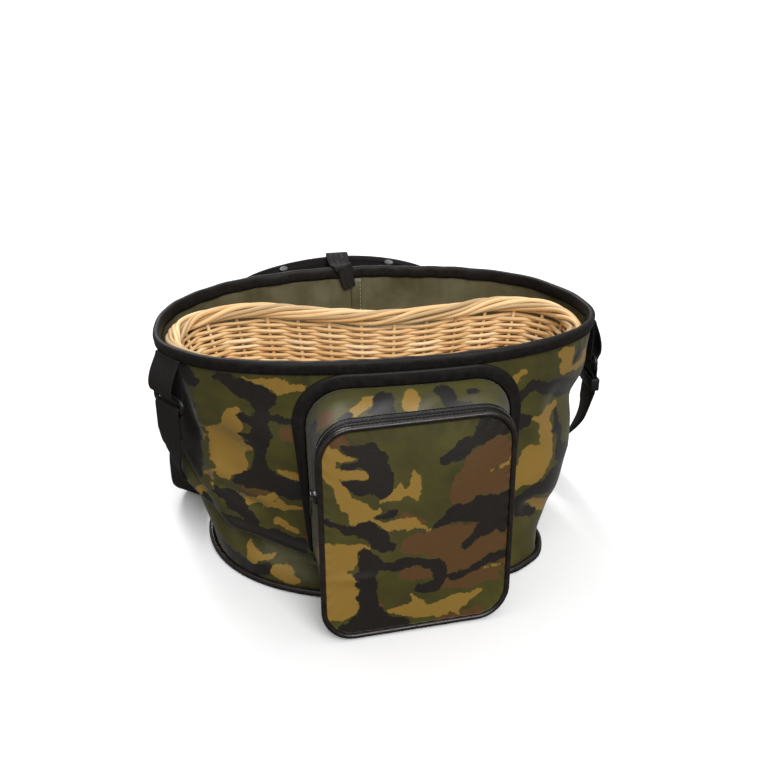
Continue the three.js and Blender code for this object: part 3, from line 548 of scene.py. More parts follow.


# The print is laid as brush strokes, each from one place and radius to another, over a green ground. On
# the sleeve a place is an angle round it and a height; strokes for the unseen back are drawn by chance.
# On the sleeve's left end, the wide black strokes near 190-197 degrees above 100 mm and the black band near
# 192-230 degrees at 45-76 mm, under the overhanging crease, are partly print and partly painted shade. The
# thin tan slivers along the ridge near 197-201 degrees, 92-178 mm high, are a painted highlight.
WALL_PRINT_AND_PAINTED_LIGHT = """
    ink from_u from_v from_r to_u to_v to_r
    brown 224 162  6 227 160  7
    brown 226  40  7 232  52  6
    tan   209.3 176 6 209 166 10
    tan   206 150 15 206.5 128 17
    tan   206.5 122 14 205.5 114 8
    tan   211 143 5 214 141  2
    green 202.5 178 7 203.5 168 7
    green 199 186 7 201 196  9
    tan   212.5 211 3 217 209 4
    tan   217 208 4 222 206  6
    tan   222 207 6 230 204  3
    tan   222 123 2 228 117  5
    black 196 208 9 199 203  6
    black 206 212 4 212 203  7
    black 212 203 8 218 194 10
    black 214 209 2 214 202  6
    black 217 184 6 217 160  8
    black 217 155 8 216 128  6
    black 211.5 175 3 217 172 6
    black 210.5 157 2 216 155 6
    black 211.5 148 1 216 148 5
    black 218 174 3 229 173  3
    black 209 106 5 215 112 12
    black 215 112 12 229 104 9
    black 192 200 9 197 178  6
    black 190 184 18 192 130 18
    black 192 125 16 194 100 10
    brown 211  98 3 218  99  3
    tan   206.5 92 1 210 87  4
    tan   210  87 4 216  90  4
    tan   216  89 4 220  96  3
    tan   217  84 3 222  88  4
    tan   222  88 4 230  86  1
    tan   221.5 69 4 229 64  3
    black 202  92 4 208  83  7
    black 208  80 7 214  66  6
    black 192  76 4 200  62  8
    black 200  62 7 222  46 13
    black 222  48 11 230 45 10
    tan   210  30 4 212  21  6
    tan   213  27 4 219  26  2
    black 196  22 5 202  14  7
    black 201  16 6 210   9  8
    black 211  10 7 218  14  7
    tan   221.5 15 5 225 16  7
    tan   226  11 4 230   8  3
    tan   184  62 3 192  72  5
    tan   192  72 5 198  88  2
    tan   197.5 178 1 199.7 160 1.2
    tan   199.7 160 1 199 141 1
    tan   201 112 1.5 201.3 92 1
    tan   198.5 103 3 201 108 2
    tan   317.5 184 3 320 194  4
    tan   320 194 4 324 201  3
    black 314 166 8 321 176  6
    black 321 176 6 327 184  5
    black 327 184 5 335 176  7
    black 335 176 7 341 168 10
    black 341 168 9 348 160  8
    black 317 157 7 325 150  6
    tan   327 150 2 333 147  6
    tan   333 147 7 339 151  4
    tan   333 144 8 333 128 11
    tan   326 108 16 329 106 17
    tan   321  96 13 327 94 12
    tan   333 112 7 334 105  4
    green 318 132 8 327 134  7
    black 340 142 4 339 128  4
    black 336.5 126 2 340 124 4
    black 340 120 4 339 104  6
    black 340  98 9 347  88 14
    black 334  82 5 345  80 12
    black 319  68 7 330  74  7
    black 330  74 8 342  66 10
    tan   325  62 2 331  54  5
    tan   331  52 6 340  36  5
    tan   340  50 2 354  22  3
    black 321  56 6 329  46  5
    tan   336 210 5 339 206  7
    tan   338 202 7 338 191  5
    tan   338 190 4 346 188  4
    black 341 197 2 344 205  4
    tan   347 196 4 352 180  6
    tan   352 178 5 360 160  5
    black 357 182 3 360 165  4
"""
PRINT_INKS = ("brown", "tan", "black")
INK_COLOURS = {"brown": (86, 58, 25), "tan": (140, 109, 42), "black": (21, 15, 10)}
NO_INK = -40.0
INK_BLEND = 5
INK_RAGGED = 2.2
INK_EDGE = 0.4
PATCH_STROKES = 5
STROKE_AHEAD = (-5, 9)
STROKE_ASIDE = (-14, 14)
STROKE_RADIUS = (2, 13)
SPREAD_U = 0.7549
SPREAD_V = 0.5698
WARP_LONG = 1.2
WARP_SHORT = 0.4
PRINT_WARP = """
    long bend bend_long short slant
    5.1 1.3 7.3 2.3 3.1
    5.7 1.1 6.1 2.6 -3.7
"""
print_rng = np.random.default_rng(23)


def chance_strokes(from_u, to_u, low, high, count, stretch):
    strokes = []
    for patch in range(count):
        ink = PRINT_INKS[patch * len(PRINT_INKS) // count]
        u = from_u + (to_u - from_u) * (patch * SPREAD_U % 1)
        v = low + (high - low) * (patch * SPREAD_V % 1)
        for _ in range(PATCH_STROKES):
            next_u = u + print_rng.uniform(*STROKE_AHEAD) * stretch
            next_v = v + print_rng.uniform(*STROKE_ASIDE)
            first, second = print_rng.uniform(*STROKE_RADIUS, 2)
            strokes.append({
                "ink": ink, "from_u": u, "from_v": v, "from_r": first,
                "to_u": next_u, "to_v": next_v, "to_r": second})
            u, v = next_u, next_v
    return strokes


def warp(along, across, row):
    bent = along / row["long"] + row["bend"] * np.sin(across / row["bend_long"])
    return WARP_LONG * np.sin(bent) + WARP_SHORT * np.sin(along / row["short"] + across / row["slant"])


def print_depth(u, v, strokes, per_u=1.0, turn=None):
    s = u * per_u
    first, second = rows_of(PRINT_WARP)
    warp_u, warp_v = warp(v, s, first), warp(s, v, second)
    depths = {ink: np.full(np.shape(u), NO_INK) for ink in PRINT_INKS}
    for stroke in strokes:
        away = u - stroke["from_u"]
        if turn:
            away = (away + turn / 2) % turn - turn / 2
        here_u, here_v = away * per_u + warp_u, v - stroke["from_v"] + warp_v
        run_u, run_v = (stroke["to_u"] - stroke["from_u"]) * per_u, stroke["to_v"] - stroke["from_v"]
        share = np.clip((here_u * run_u + here_v * run_v) / max(run_u ** 2 + run_v ** 2, 0.01), 0, 1)
        width = stroke["from_r"] + (stroke["to_r"] - stroke["from_r"]) * share
        within = width - np.hypot(here_u - run_u * share, here_v - run_v * share)
        for ink in PRINT_INKS:
            if ink == stroke["ink"]:
                blend = np.maximum(INK_BLEND - np.abs(depths[ink] - within), 0) / INK_BLEND
                depths[ink] = np.maximum(depths[ink], within) + blend ** 2 * INK_BLEND / 4
            else:
                depths[ink] = np.minimum(depths[ink], -within)
    return depths


def print_on(piece, depths, count):
    for ink in PRINT_INKS:
        values = np.full(count, NO_INK)
        values[:depths[ink].size] = depths[ink].ravel()
        point_values(piece, "ink_" + ink, values)


def weave_on(piece, along, across):
    point_values(piece, "weave", stacked(along, across, 0.0).reshape(-1, 3))


def shader_group(name, inputs, outputs):
    group = bpy.data.node_groups.new(name, "ShaderNodeTree")
    for direction, sockets in (("INPUT", inputs), ("OUTPUT", outputs)):
        for label, kind in sockets.items():
            group.interface.new_socket(name=label, in_out=direction, socket_type="NodeSocket" + kind)
    return group, group.nodes.new("NodeGroupInput").outputs, group.nodes.new("NodeGroupOutput").inputs


def use_group(tree, group, **inputs):
    made = place(tree, "Group", node_tree=group)
    for label, value in inputs.items():
        socket = made.inputs[label.replace("_", " ")]
        if isinstance(value, bpy.types.NodeSocket):
            tree.links.new(value, socket)
        else:
            socket.default_value = value
    return made.outputs


def add_scaled(tree, height, share, other):
    return math_node(tree, "ADD", math_node(tree, "MULTIPLY", height, share), other)


plain_weave, given, made = shader_group(
    "plain_weave", {"Vector": "Vector", "Threads": "Float"}, {"Height": "Float"})
threads = place(plain_weave, "SeparateXYZ", {0: given["Vector"]})
warp_thread, weft_thread = (
    math_node(plain_weave, "SINE", math_node(plain_weave, "MULTIPLY", threads.outputs[way], given["Threads"]))
    for way in (0, 1))
plain_weave.links.new(math_node(plain_weave, "MULTIPLY", warp_thread, weft_thread), made["Height"])

camo, tree, shader = finish(
    "camouflage_cloth", Specular_IOR_Level=0.35, Sheen_Weight=0.14, Sheen_Roughness=0.45,
    Sheen_Tint=(0.95, 0.98, 1.0, 1.0))
cloth_at = read(tree, "weave")
ragged = noise(tree, cloth_at, 0.16, 4.0, 0.62)
tone = noise(tree, cloth_at, 0.03, 2.0)
dyed = ramp(tree, tone, [(0.3, linear(53, 50, 11)), (0.7, linear(73, 69, 19))])
for ink in PRINT_INKS:
    shift = span(tree, ragged, 0.25, 0.75, -INK_RAGGED, INK_RAGGED)
    depth = math_node(tree, "ADD", read(tree, "ink_" + ink, "Fac"), shift)
    dyed = mix(tree, span(tree, depth, -INK_EDGE, INK_EDGE), dyed, linear(*INK_COLOURS[ink]))
thread_height = use_group(tree, plain_weave, Vector=cloth_at, Threads=7.5)["Height"]
woven = mix(tree, span(tree, thread_height, -1.0, 1.0, 0.0, 0.12), dyed, linear(24, 22, 16))
crinkle = noise(tree, cloth_at, 0.35, 4.0, 0.65)
feed(tree, shader, Base_Color=woven, Roughness=span(tree, crinkle, 0.3, 0.7, 0.42, 0.58))
bump(tree, add_scaled(tree, thread_height, 0.15, crinkle), 0.3, 0.0008, shader)

mottled_tone, given, made = shader_group(
    "mottled_tone",
    {"Vector": "Vector", "Scale": "Float", "Dark": "Color", "Light": "Color",
     "Smooth": "Float", "Rough": "Float"},
    {"Colour": "Color", "Roughness": "Float", "Height": "Float"})
cloud = noise(mottled_tone, given["Vector"], given["Scale"], 3.0)
cloud_share = span(mottled_tone, cloud, 0.3, 0.7)
cloud_rough = span(mottled_tone, cloud, 0.3, 0.7, given["Smooth"], given["Rough"])
mottled_tone.links.new(mix(mottled_tone, cloud_share, given["Dark"], given["Light"]), made["Colour"])
mottled_tone.links.new(cloud_rough, made["Roughness"])
mottled_tone.links.new(cloud, made["Height"])


def mottle(tree, shader, vector, scale, dark, light, smooth, rough):
    made = use_group(
        tree, mottled_tone, Vector=vector, Scale=scale, Dark=linear(*dark), Light=linear(*light),
        Smooth=smooth, Rough=rough)
    feed(tree, shader, Base_Color=made["Colour"], Roughness=made["Roughness"])
    return made["Height"]


lining, tree, shader = finish("coated_inside", Specular_IOR_Level=0.45)
cloth_at = read(tree, "weave")
crinkle = mottle(tree, shader, cloth_at, 0.022, (64, 59, 36), (99, 95, 70), 0.38, 0.55)
thread_height = use_group(tree, plain_weave, Vector=cloth_at, Threads=5.0)["Height"]
bump(tree, add_scaled(tree, thread_height, 0.04, crinkle), 0.3, 0.0015, shader)


def whole_turn(steps):
    return np.arange(steps) / steps * 2 * np.pi


wall_angles = whole_turn(WALL_COLUMNS)
outer_z = np.linspace(CLOTH_FOOT, RIM_HEIGHT, WALL_ROWS)[:, None]
inner_z = np.linspace(RIM_HEIGHT, CLOTH_FOOT, INNER_ROWS)[:, None]
angle_grid, z_grid = np.broadcast_arrays(wall_angles[None, :], outer_z)
outer_cloth = wall_point(angle_grid, z_grid, wall_buckle(angle_grid, z_grid))
inner_angle, inner_grid = np.broadcast_arrays(wall_angles[None, :], inner_z)
inner_cloth = wall_point(inner_angle, inner_grid, wall_buckle(inner_angle, inner_grid) - CLOTH_THICK)
cloth_points = np.concatenate([outer_cloth, inner_cloth]).reshape(-1, 3)
cloth_faces = grid_faces(WALL_ROWS + INNER_ROWS, WALL_COLUMNS, True, True)
sleeve = mesh_piece("cover_sleeve", cloth_points, cloth_faces.tolist())
PER_DEGREE = math.radians(FOLD_RADIUS)
wall_strokes = chance_strokes(from_u=-4, to_u=176, low=12, high=214, count=54, stretch=1.0)
wall_strokes = wall_strokes + rows_of(WALL_PRINT_AND_PAINTED_LIGHT)
wall_depths = print_depth(np.degrees(angle_grid), z_grid, wall_strokes, PER_DEGREE, 360.0)
print_on(sleeve, wall_depths, len(cloth_points))
weave_on(sleeve, wall_angles * FOLD_RADIUS, np.concatenate([z_grid, inner_grid]))
dress(sleeve, camo, "cover_cloth", "cover_wall")
sleeve.data.materials.append(lining)
inner_face = np.arange(len(cloth_faces)) // WALL_COLUMNS >= WALL_ROWS - 1
sleeve.data.polygons.foreach_set("material_index", inner_face.astype(np.int32))

# Bottom panel of the cover: an oval of the same printed cloth, doubled over a thin board. It lies flat on
# the ground and is sewn to the sleeve all round.
BASE_TOP = 2.5
BASE_EDGE_Z = 2.9
SEAM_GAP = 0.4
BASE_SECTION = (
    (0.02, 0.3), (0.5, 0.2), (0.97, 0.1), (1.0, 0.6),
    (1.0, 2.0), (0.97, BASE_TOP), (0.5, BASE_TOP), (0.02, BASE_TOP))
base_edge = wall_point(wall_angles[::3], BASE_EDGE_Z, -SEAM_GAP)


def strip_faces(rows, columns):
    faces = grid_faces(rows, columns, False, True).tolist()
    faces.append(list(range(columns - 1, -1, -1)))
    faces.append(list(range((rows - 1) * columns, rows * columns)))
    return faces


base_points = np.concatenate([base_edge * [share, share, 0] + z * UP for share, z in BASE_SECTION])
base_panel = mesh_piece("cover_bottom", base_points, strip_faces(len(BASE_SECTION), len(base_edge)))
base_strokes = chance_strokes(from_u=-170, to_u=170, low=-120, high=110, count=36, stretch=2.0)
base_depths = print_depth(base_points[:, 0], base_points[:, 1], base_strokes)
print_on(base_panel, base_depths, len(base_points))
point_values(base_panel, "weave", base_points)
dress(base_panel, camo, "cover_cloth", "cover_base")

# Piping in the bottom seam: a cord covered with a strip of glossy black coated cloth, sewn in between
# sleeve and bottom panel, with small gathers where it goes round the ends.
PIPING_RADIUS = 3.2
PIPING_STEPS = 420
trim_gloss, tree, shader = finish("glossy_piping", Specular_IOR_Level=0.45)
grain = read(tree, "grain")
gathers = noise(tree, scaled(tree, grain, (0.5, 0.25, 0.25)), 1.0, 3.0)
mottle(tree, shader, grain, 0.08, (14, 10, 9), (34, 26, 22), 0.2, 0.38)
bump(tree, gathers, 0.35, 0.0008, shader)
piping_seat = PIPING_RADIUS + SEAM_GAP
piping_way = wall_point(whole_turn(PIPING_STEPS), BASE_EDGE_Z, piping_seat, piping_seat)
base_piping = rods("base_piping_cord", [piping_way], [PIPING_RADIUS], sides=12, looped=True)
dress(base_piping, trim_gloss, "trim_tape", "base_piping")

# Binding of the rim: satin black tape folded over the raw edge of the cloth and held by one row of
# stitches through both legs near its lower edge.
BINDING_PROFILE = """
    out up
    1.2 -10.2
    2.0  -9.4
    2.2  -8
    2.7  -5
    2.7  -2
    2.2   0.4
    1.2   1.7
    0.0   2.2
    -2.0  2.2
    -3.2  1.5
    -4.0  0.2
    -4.3 -2
    -4.3 -5
    -3.9 -8.5
    -3.4 -10.2
    -2.3 -10.2
    -2.3 -3
    -1.6  0.5
    0.2   0.5
    0.7  -3
    0.7 -10.2
"""
BINDING_STEPS = 480
BINDING_SLACK = """
    height turns wander wander_turns
    0.25 31 2 4
    0.2 13 0 0
"""
tape, tree, shader = finish("satin_tape", Specular_IOR_Level=0.22)
tape_at = read(tree, "weave")
parts = place(tree, "SeparateXYZ", {0: tape_at})
rib = math_node(tree, "SINE", math_node(tree, "MULTIPLY", parts.outputs[0], 6.0))
cloud = mottle(tree, shader, tape_at, 0.15, (13, 10, 9), (25, 21, 19), 0.4, 0.55)
bump(tree, add_scaled(tree, rib, 0.2, cloud), 0.3, 0.0006, shader)
profile = np.array([(row["out"], row["up"]) for row in rows_of(BINDING_PROFILE)])
binding_angles = whole_turn(BINDING_STEPS)
slack = sum(
    row["height"] * wavering(binding_angles, row["turns"], row["wander"], row["wander_turns"])
    for row in rows_of(BINDING_SLACK))
binding_points = np.stack([
    wall_point(binding_angles, RIM_HEIGHT + up, out + slack * (up < 0), RIM_HEIGHT + up + slack)
    for out, up in profile], 1)
binding = mesh_piece(
    "rim_tape", binding_points.reshape(-1, 3), grid_faces(BINDING_STEPS, len(profile), True, True).tolist())
weave_on(binding, (binding_angles * FOLD_RADIUS)[:, None], run_of(profile))
dress(binding, tape, "trim_tape", "rim_binding")

# Sewing thread of the rim: short stitches of twisted black polyester, one row outside and one inside,
# pulled a little into the tape at both ends.
STITCH_SHARES = np.array([0.0, 0.15, 0.5, 0.85, 1.0])
STITCH_SINK = np.array([0.35, 0.05, 0.0, 0.05, 0.35])
STITCH_TAPER = np.array([0.55, 0.95, 1.0, 0.95, 0.55])
STITCH_UPRIGHT = np.array([0.12, 0.31, 0.94])
RIM_STITCH = {"pitch": 4.2, "length": 3.2, "radius": 0.42}
RIM_SEAM_Z = RIM_HEIGHT - 7.6


def at_run(where, run, line):
    return np.stack([np.interp(where, run, column) for column in np.asarray(line).T], -1)


def stitches(name, line, normal, pitch, length, radius):
    run = run_of(line)
    ways = []
    for start in np.arange(0, run[-1] - length, pitch):
        where = start + STITCH_SHARES * length
        out = unit(at_run(where, run, normal))
        ways.append(at_run(where, run, line) + out * (radius * 0.5 - STITCH_SINK * radius * 2)[:, None])
    return rods(name, ways, [radius * STITCH_TAPER] * len(ways), sides=5, upright=STITCH_UPRIGHT)


thread, tree, shader = finish("black_thread", Specular_IOR_Level=0.1)
mottle(tree, shader, read(tree, "grain"), 1.5, (10, 9, 9), (28, 26, 26), 0.65, 0.85)
seam_angles = np.concatenate([binding_angles, binding_angles[:1] + 2 * np.pi])
for name, out, facing in (("rim_stitches", 2.3, 1), ("rim_stitches_inside", -4.05, -1)):
    line = wall_point(seam_angles, RIM_SEAM_Z, out)
    normal = facing * (wall_point(seam_angles, RIM_SEAM_Z, out + 1) - line)
    dress(stitches(name, line, normal, **RIM_STITCH), thread, "trim_tape")

# Seam up the middle of the back: the two ends of the sleeve lapped and sewn, with the raw edge showing
# inside and one row of pale stitches beside it.
SEAM_DEG = 91.5
SEAM_STITCH_DEG = 89.9
SEAM_STITCH = {"pitch": 4.6, "length": 3.2, "radius": 0.4}
SEAM_STITCH_OUT = -3.25
SEAM_FOOT = 6
SEAM_BELOW_RIM = 11
SEAM_STEPS = 60
BACK_RADIUS = 147
LAP_SECTION = np.array([(-6, -1.7), (-6, -2.5), (-5, -3.0), (0, -3.1), (5, -3.2), (6.5, -2.6), (6.5, -1.7)])
seam_z = np.linspace(SEAM_FOOT, RIM_HEIGHT - SEAM_BELOW_RIM, SEAM_STEPS)
seam_swell = wall_buckle(math.radians(SEAM_DEG), seam_z)
lap_points = np.stack([
    wall_point(math.radians(SEAM_DEG) + across / BACK_RADIUS, seam_z, out + seam_swell)
    for across, out in LAP_SECTION], 1)
back_seam = mesh_piece("back_seam", lap_points.reshape(-1, 3), strip_faces(len(seam_z), len(LAP_SECTION)))
weave_on(back_seam, LAP_SECTION[:, 0], seam_z[:, None])
dress(back_seam, lining, "cover_cloth")
pale_thread, tree, shader = finish("pale_thread")
mottle(tree, shader, read(tree, "grain"), 1.5, (136, 128, 98), (186, 178, 148), 0.5, 0.7)
seam_line = wall_point(math.radians(SEAM_STITCH_DEG), seam_z, seam_swell + SEAM_STITCH_OUT)
seam_normal = np.broadcast_to([0.0, -1.0, 0.0], seam_line.shape)
dress(stitches("back_seam_stitches", seam_line, seam_normal, **SEAM_STITCH), pale_thread, "cover_cloth")

# Front panel of the pocket: the printed cloth over a soft interlining, so that it stands a little crowned
# inside its piping.
POCKET_TURN = math.radians(4.5)
FACE_LOW = {"x": -10, "y": -194, "z": 4, "width": 169}
FACE_HIGH = {"x": -4, "y": -168, "z": 200, "width": 174}
FACE_CORNER = 28
FACE_CROWN = 5
FACE_WAVE = {"height": 0.7, "x": 21, "z": 34}
FACE_PUCKER = {"height": 0.35, "reach": 0.05, "turns": 60, "wander": 2, "wander_turns": 5}
FACE_CREASE = {"height": 1.4, "z": 62, "width": 5, "from_x": -38, "fade": 18}
POCKET_FLARE = 10
POCKET_SKEW = 5
SEAM_LOW = 14
SEAM_HIGH = 204.5
POCKET_COLUMNS = 320
CORNER_STEPS = 25
FACE_RINGS = 80
POCKET_PIPING = 2.5
PIPING_GAP = 0.2
FACE_PRINT = """
    ink from_u from_v from_r to_u to_v to_r
    brown -79 193 8 -70 190 8
    brown 70 162 18 52 156 13
    brown 66 142 20 45 142 14
    brown 40 128 13 75 128 14
    brown -8 88 9 20 91 11
    brown 20 86 15 60 90 13
    brown 28 74 11 78 76 13
    brown 28 62 8 76 60 10
    brown 26 47 8 70 45 7
    brown -11 62 8 9 62 8
    brown -37 36 4 -33 27 4
    brown 24 10 5 58 9 5
    brown -14 116 3 4 109 3
    tan -81 92 5 -62 92 6
    tan -55 92 3 -46 91 1
    tan -79 80 9 -62 80 8
    tan -79 62 10 -66 60 9
    tan -77 44 12 -62 46 9
    tan -60 46 6 -49 45 4
    tan -75 30 10 -64 34 9
    tan -27 26 2 -8 24 6
    tan -8 22 6 20 18 7
    tan -5 37 2 0 28 6
    tan 20 22 7 40 24 7
    tan 40 27 5 63 33 1
    tan 20 12 3 28 14 3
    tan 34 16 2 41 11 1
    green 66 36 5 76 26 9
    black -66 184 3 -45 179 6
    black -45 178 7 -34 168 8
    black -64 169 3 -40 168 7
    black -34 162 9 -32 148 9
    black -42 150 8 -34 144 8
    black -67 157 3 -50 146 6
    black 23 163 4 40 172 6
    black 40 174 6 60 184 8
    black 60 187 9 74 187 8
    black 14 105 2 35 113 8
    black 35 113 9 60 114 10
    black 60 115 11 80 116 10
    black 80 122 5 85 124 3
    black 72 106 10 62 96 7
    black 62 96 6 44 82 4
    black 76 100 8 78 92 5
    black 33 51 4 52 56 3
    black 52 57 3 68 62 4
    black 70 62 4 82 67 4
    black -38 72 5 -10 72 4
    black -10 72 4 18 67 5
    black 18 64 6 19 48 6
    black 1 46 4 17 44 5
    black -81 117 3 -62 110 4
    black -62 110 4 -48 110 6
    black -46 106 7 -34 98 8
    black -34 96 8 -26 90 4
    black -50 86 4 -44 78 7
    black -45 76 8 -46 60 9
    black -58 67 2 -48 64 5
    black -56 57 2 -46 55 5
    black -46 50 7 -43 34 8
    black -54 42 2 -46 38 5
    black -48 32 6 -52 22 6
    black -68 12 6 -40 14 9
    black -40 16 9 -12 9 6
    black -56 20 7 -36 23 7
    tan -82 184 5 -80 166 7
    tan -77 178 5 -52 174 1
    tan -74 164 5 -48 157 4
    tan -76 158 5 -68 145 5
    tan -67 141 7 -52 124 9
    tan -56 119 5 -35 126 2
    tan -44 117 1 -28 110 4
    tan -26 111 5 -8 109 4
    tan -8 108 4 11 102 1
    black -38 119 2 -24 121 4
    tan -6 158 1 -4 147 4
    tan -4 147 4 -4 137 6
    tan -8 139 5 -20 140 4
    tan -16 148 1 -21 141 4
    tan -33 135 1 -20 137 4
    green -10 151 2 -11 146 3
    tan 64 147 1 76 151 1
    tan 76 151 1 84 158 2
    tan 62 53 1 76 57 1
"""


def rounded_edge(width, low, high, corner, count):
    half = width / 2
    arcs = ((half - corner, low + corner, -90), (half - corner, high - corner, 0),
            (corner - half, high - corner, 90), (corner - half, low + corner, 180))
    edge = [(0.0, low)]
    for x, z, from_deg in arcs:
        for turn in np.radians(np.linspace(from_deg, from_deg + 90, CORNER_STEPS)):
            edge.append((x + corner * math.cos(turn), z + corner * math.sin(turn)))
    edge = np.array(edge + [(0.0, low)])
    run = run_of(edge)
    return at_run(np.arange(count) / count * run[-1], run, edge).T


def face_at(z):
    share = (z - FACE_LOW["z"]) / (FACE_HIGH["z"] - FACE_LOW["z"])
    return {key: FACE_LOW[key] + (FACE_HIGH[key] - FACE_LOW[key]) * share for key in FACE_LOW}


def face_edge(inset):
    width = (FACE_LOW["width"] + FACE_HIGH["width"]) / 2
    x, z = rounded_edge(
        width - 2 * inset, FACE_LOW["z"] + inset, FACE_HIGH["z"] - inset, FACE_CORNER - inset, POCKET_COLUMNS)
    at = face_at(z)
    return stacked(at["x"] + x * at["width"] / width, at["y"], z)


def pocket_out(points):
    x, y, z = np.moveaxis(np.asarray(points), -1, 0)
    turn_cos, turn_sin = math.cos(POCKET_TURN), math.sin(POCKET_TURN)
    return stacked(x * turn_cos - y * turn_sin, x * turn_sin + y * turn_cos, z)


def face_wave(x, z):
    return FACE_WAVE["height"] * np.cos(x / FACE_WAVE["x"] + z / FACE_WAVE["z"])


face_rim = face_edge(POCKET_PIPING + PIPING_GAP)
face_middle = np.array([(FACE_LOW[key] + FACE_HIGH[key]) / 2 for key in ("x", "y", "z")])
face_share = np.linspace(0.0, 1, FACE_RINGS + 1)[1:, None]
face_points = face_middle + (face_rim - face_middle) * face_share[:, :, None]
face_x, face_z = face_points[:, :, 0], face_points[:, :, 2]
pucker = wavering(
    whole_turn(POCKET_COLUMNS), FACE_PUCKER["turns"], FACE_PUCKER["wander"], FACE_PUCKER["wander_turns"])
pucker = FACE_PUCKER["height"] * np.exp(-(1 - face_share) / FACE_PUCKER["reach"]) * pucker
level_crease = np.exp(-((face_z - FACE_CREASE["z"]) / FACE_CREASE["width"]) ** 2)
level_crease = level_crease * np.clip((FACE_CREASE["from_x"] - face_x) / FACE_CREASE["fade"], 0, 1)
crown = FACE_CROWN * (1 - face_share ** 2) + pucker + face_wave(face_x, face_z) * (1 - face_share ** 4)
crown = crown + FACE_CREASE["height"] * level_crease * (1 - face_share ** 6)
face_points[:, :, 1] -= crown
hub = face_middle - [0, FACE_CROWN + face_wave(face_middle[0], face_middle[2]), 0]
front_points = np.concatenate([face_points.reshape(-1, 3), [hub]])
back_ring = face_rim + [0, CLOTH_THICK, 0]
back_hub = face_middle - [0, FACE_CROWN - CLOTH_THICK, 0]
face_count = len(front_points)
panel_points = np.concatenate([front_points, back_ring, [back_hub]])
panel_faces = grid_faces(FACE_RINGS, POCKET_COLUMNS, False, True)[:, ::-1].tolist()
columns = np.arange(POCKET_COLUMNS)
following = (columns + 1) % POCKET_COLUMNS
last_ring = (FACE_RINGS - 1) * POCKET_COLUMNS
panel_faces += stacked(following, columns, face_count - 1).tolist()
panel_faces += stacked(
    face_count + following, face_count + columns, last_ring + columns, last_ring + following).tolist()
panel_faces += stacked(len(panel_points) - 1, face_count + following, face_count + columns).tolist()
pocket_panel = mesh_piece("pocket_panel", pocket_out(panel_points), panel_faces)
middle_line = face_at(front_points[:, 2])["x"]
face_depths = print_depth(front_points[:, 0] - middle_line, front_points[:, 2], rows_of(FACE_PRINT))
print_on(pocket_panel, face_depths, len(panel_points))
point_values(pocket_panel, "weave", panel_points[:, [0, 2, 1]])
dress(pocket_panel, camo, "cover_cloth", "pocket_front")

# Piping round the pocket's face: a thin cord in glossy black coated cloth, caught in the seam between the
# panel and the band.
pocket_cord = rods(
    "pocket_piping_cord", [pocket_out(face_edge(0))], [POCKET_PIPING], sides=12, looped=True,
    upright=np.array([0.0, 1.0, 0.0]))
dress(pocket_cord, trim_gloss, "trim_tape", "pocket_piping")

# Gusset of the pocket: a band of the printed cloth from the wall to the face. It is cut full, so that it
# sags a little between its seams and crumples at the corners.
GUSSET_ROWS = 24
WALL_GAP = 0.8
HALVINGS = 40
BAND_START = 0.8
BAND_SAG = {"depth": 2.2, "even": 0.6, "uneven": 0.4, "run": 43}
CRUMPLE = {"height": 1.1, "run": 9, "slant": 4, "wander": 2, "wander_run": 31, "low": 0.35, "high": 0.65}
CRUMPLE_FROM_Z = 150
CRUMPLE_FADE = 40
GUSSET_PRINT = """
    ink from_u from_v from_r to_u to_v to_r
    tan 399 26 6 389 40 7
    tan 384 44 8 377 46 5
    black 408 20 5 404 26 4
    black 374 26 12 371 50 7
    tan 349 24 7 347 46 8
    black 318 48 8 314 36 8
    black 312 26 8 298 22 6
    black 296 44 3 288 42 5
    brown 424 30 8 436 44 9
    black 446 20 13 508 24 13
    black 450 44 14 508 44 13
    brown 546 20 5 550 46 7
    tan 562 20 8 566 44 8
    black 580 24 6 586 44 8
    tan 597 20 5 600 34 5
    tan 150 20 8 196 30 9
    black 212 40 8 236 20 8
    tan 60 20 8 84 34 9
    black 96 40 9 124 20 8
    black 20 30 10 44 16 8
    brown 660 30 9 676 20 9
"""


def wall_behind(across, z):
    inside, outside = np.zeros(len(across)), np.full(len(across), float(FACE_LOW["y"]))
    for _ in range(HALVINGS):
        depth = (inside + outside) / 2
        x, y, _ = np.moveaxis(pocket_out(stacked(across, depth, z)), -1, 0)
        y = y - levels_at(WALL_LEVELS, z)["ends_y"]
        within = np.hypot(x, y) < wall_radius(np.arctan2(y, x) % (2 * np.pi), z)
        inside, outside = np.where(within, depth, inside), np.where(within, outside, depth)
    return inside


def seam_edge(inset, clear):
    width = (FACE_LOW["width"] + FACE_HIGH["width"]) / 2 + 2 * POCKET_FLARE - 2 * inset
    corner = FACE_CORNER + POCKET_FLARE - inset
    x, z = rounded_edge(width, SEAM_LOW + inset, SEAM_HIGH - inset, corner, POCKET_COLUMNS)
    x = x + POCKET_SKEW
    return stacked(x, wall_behind(x, z) - clear, z)


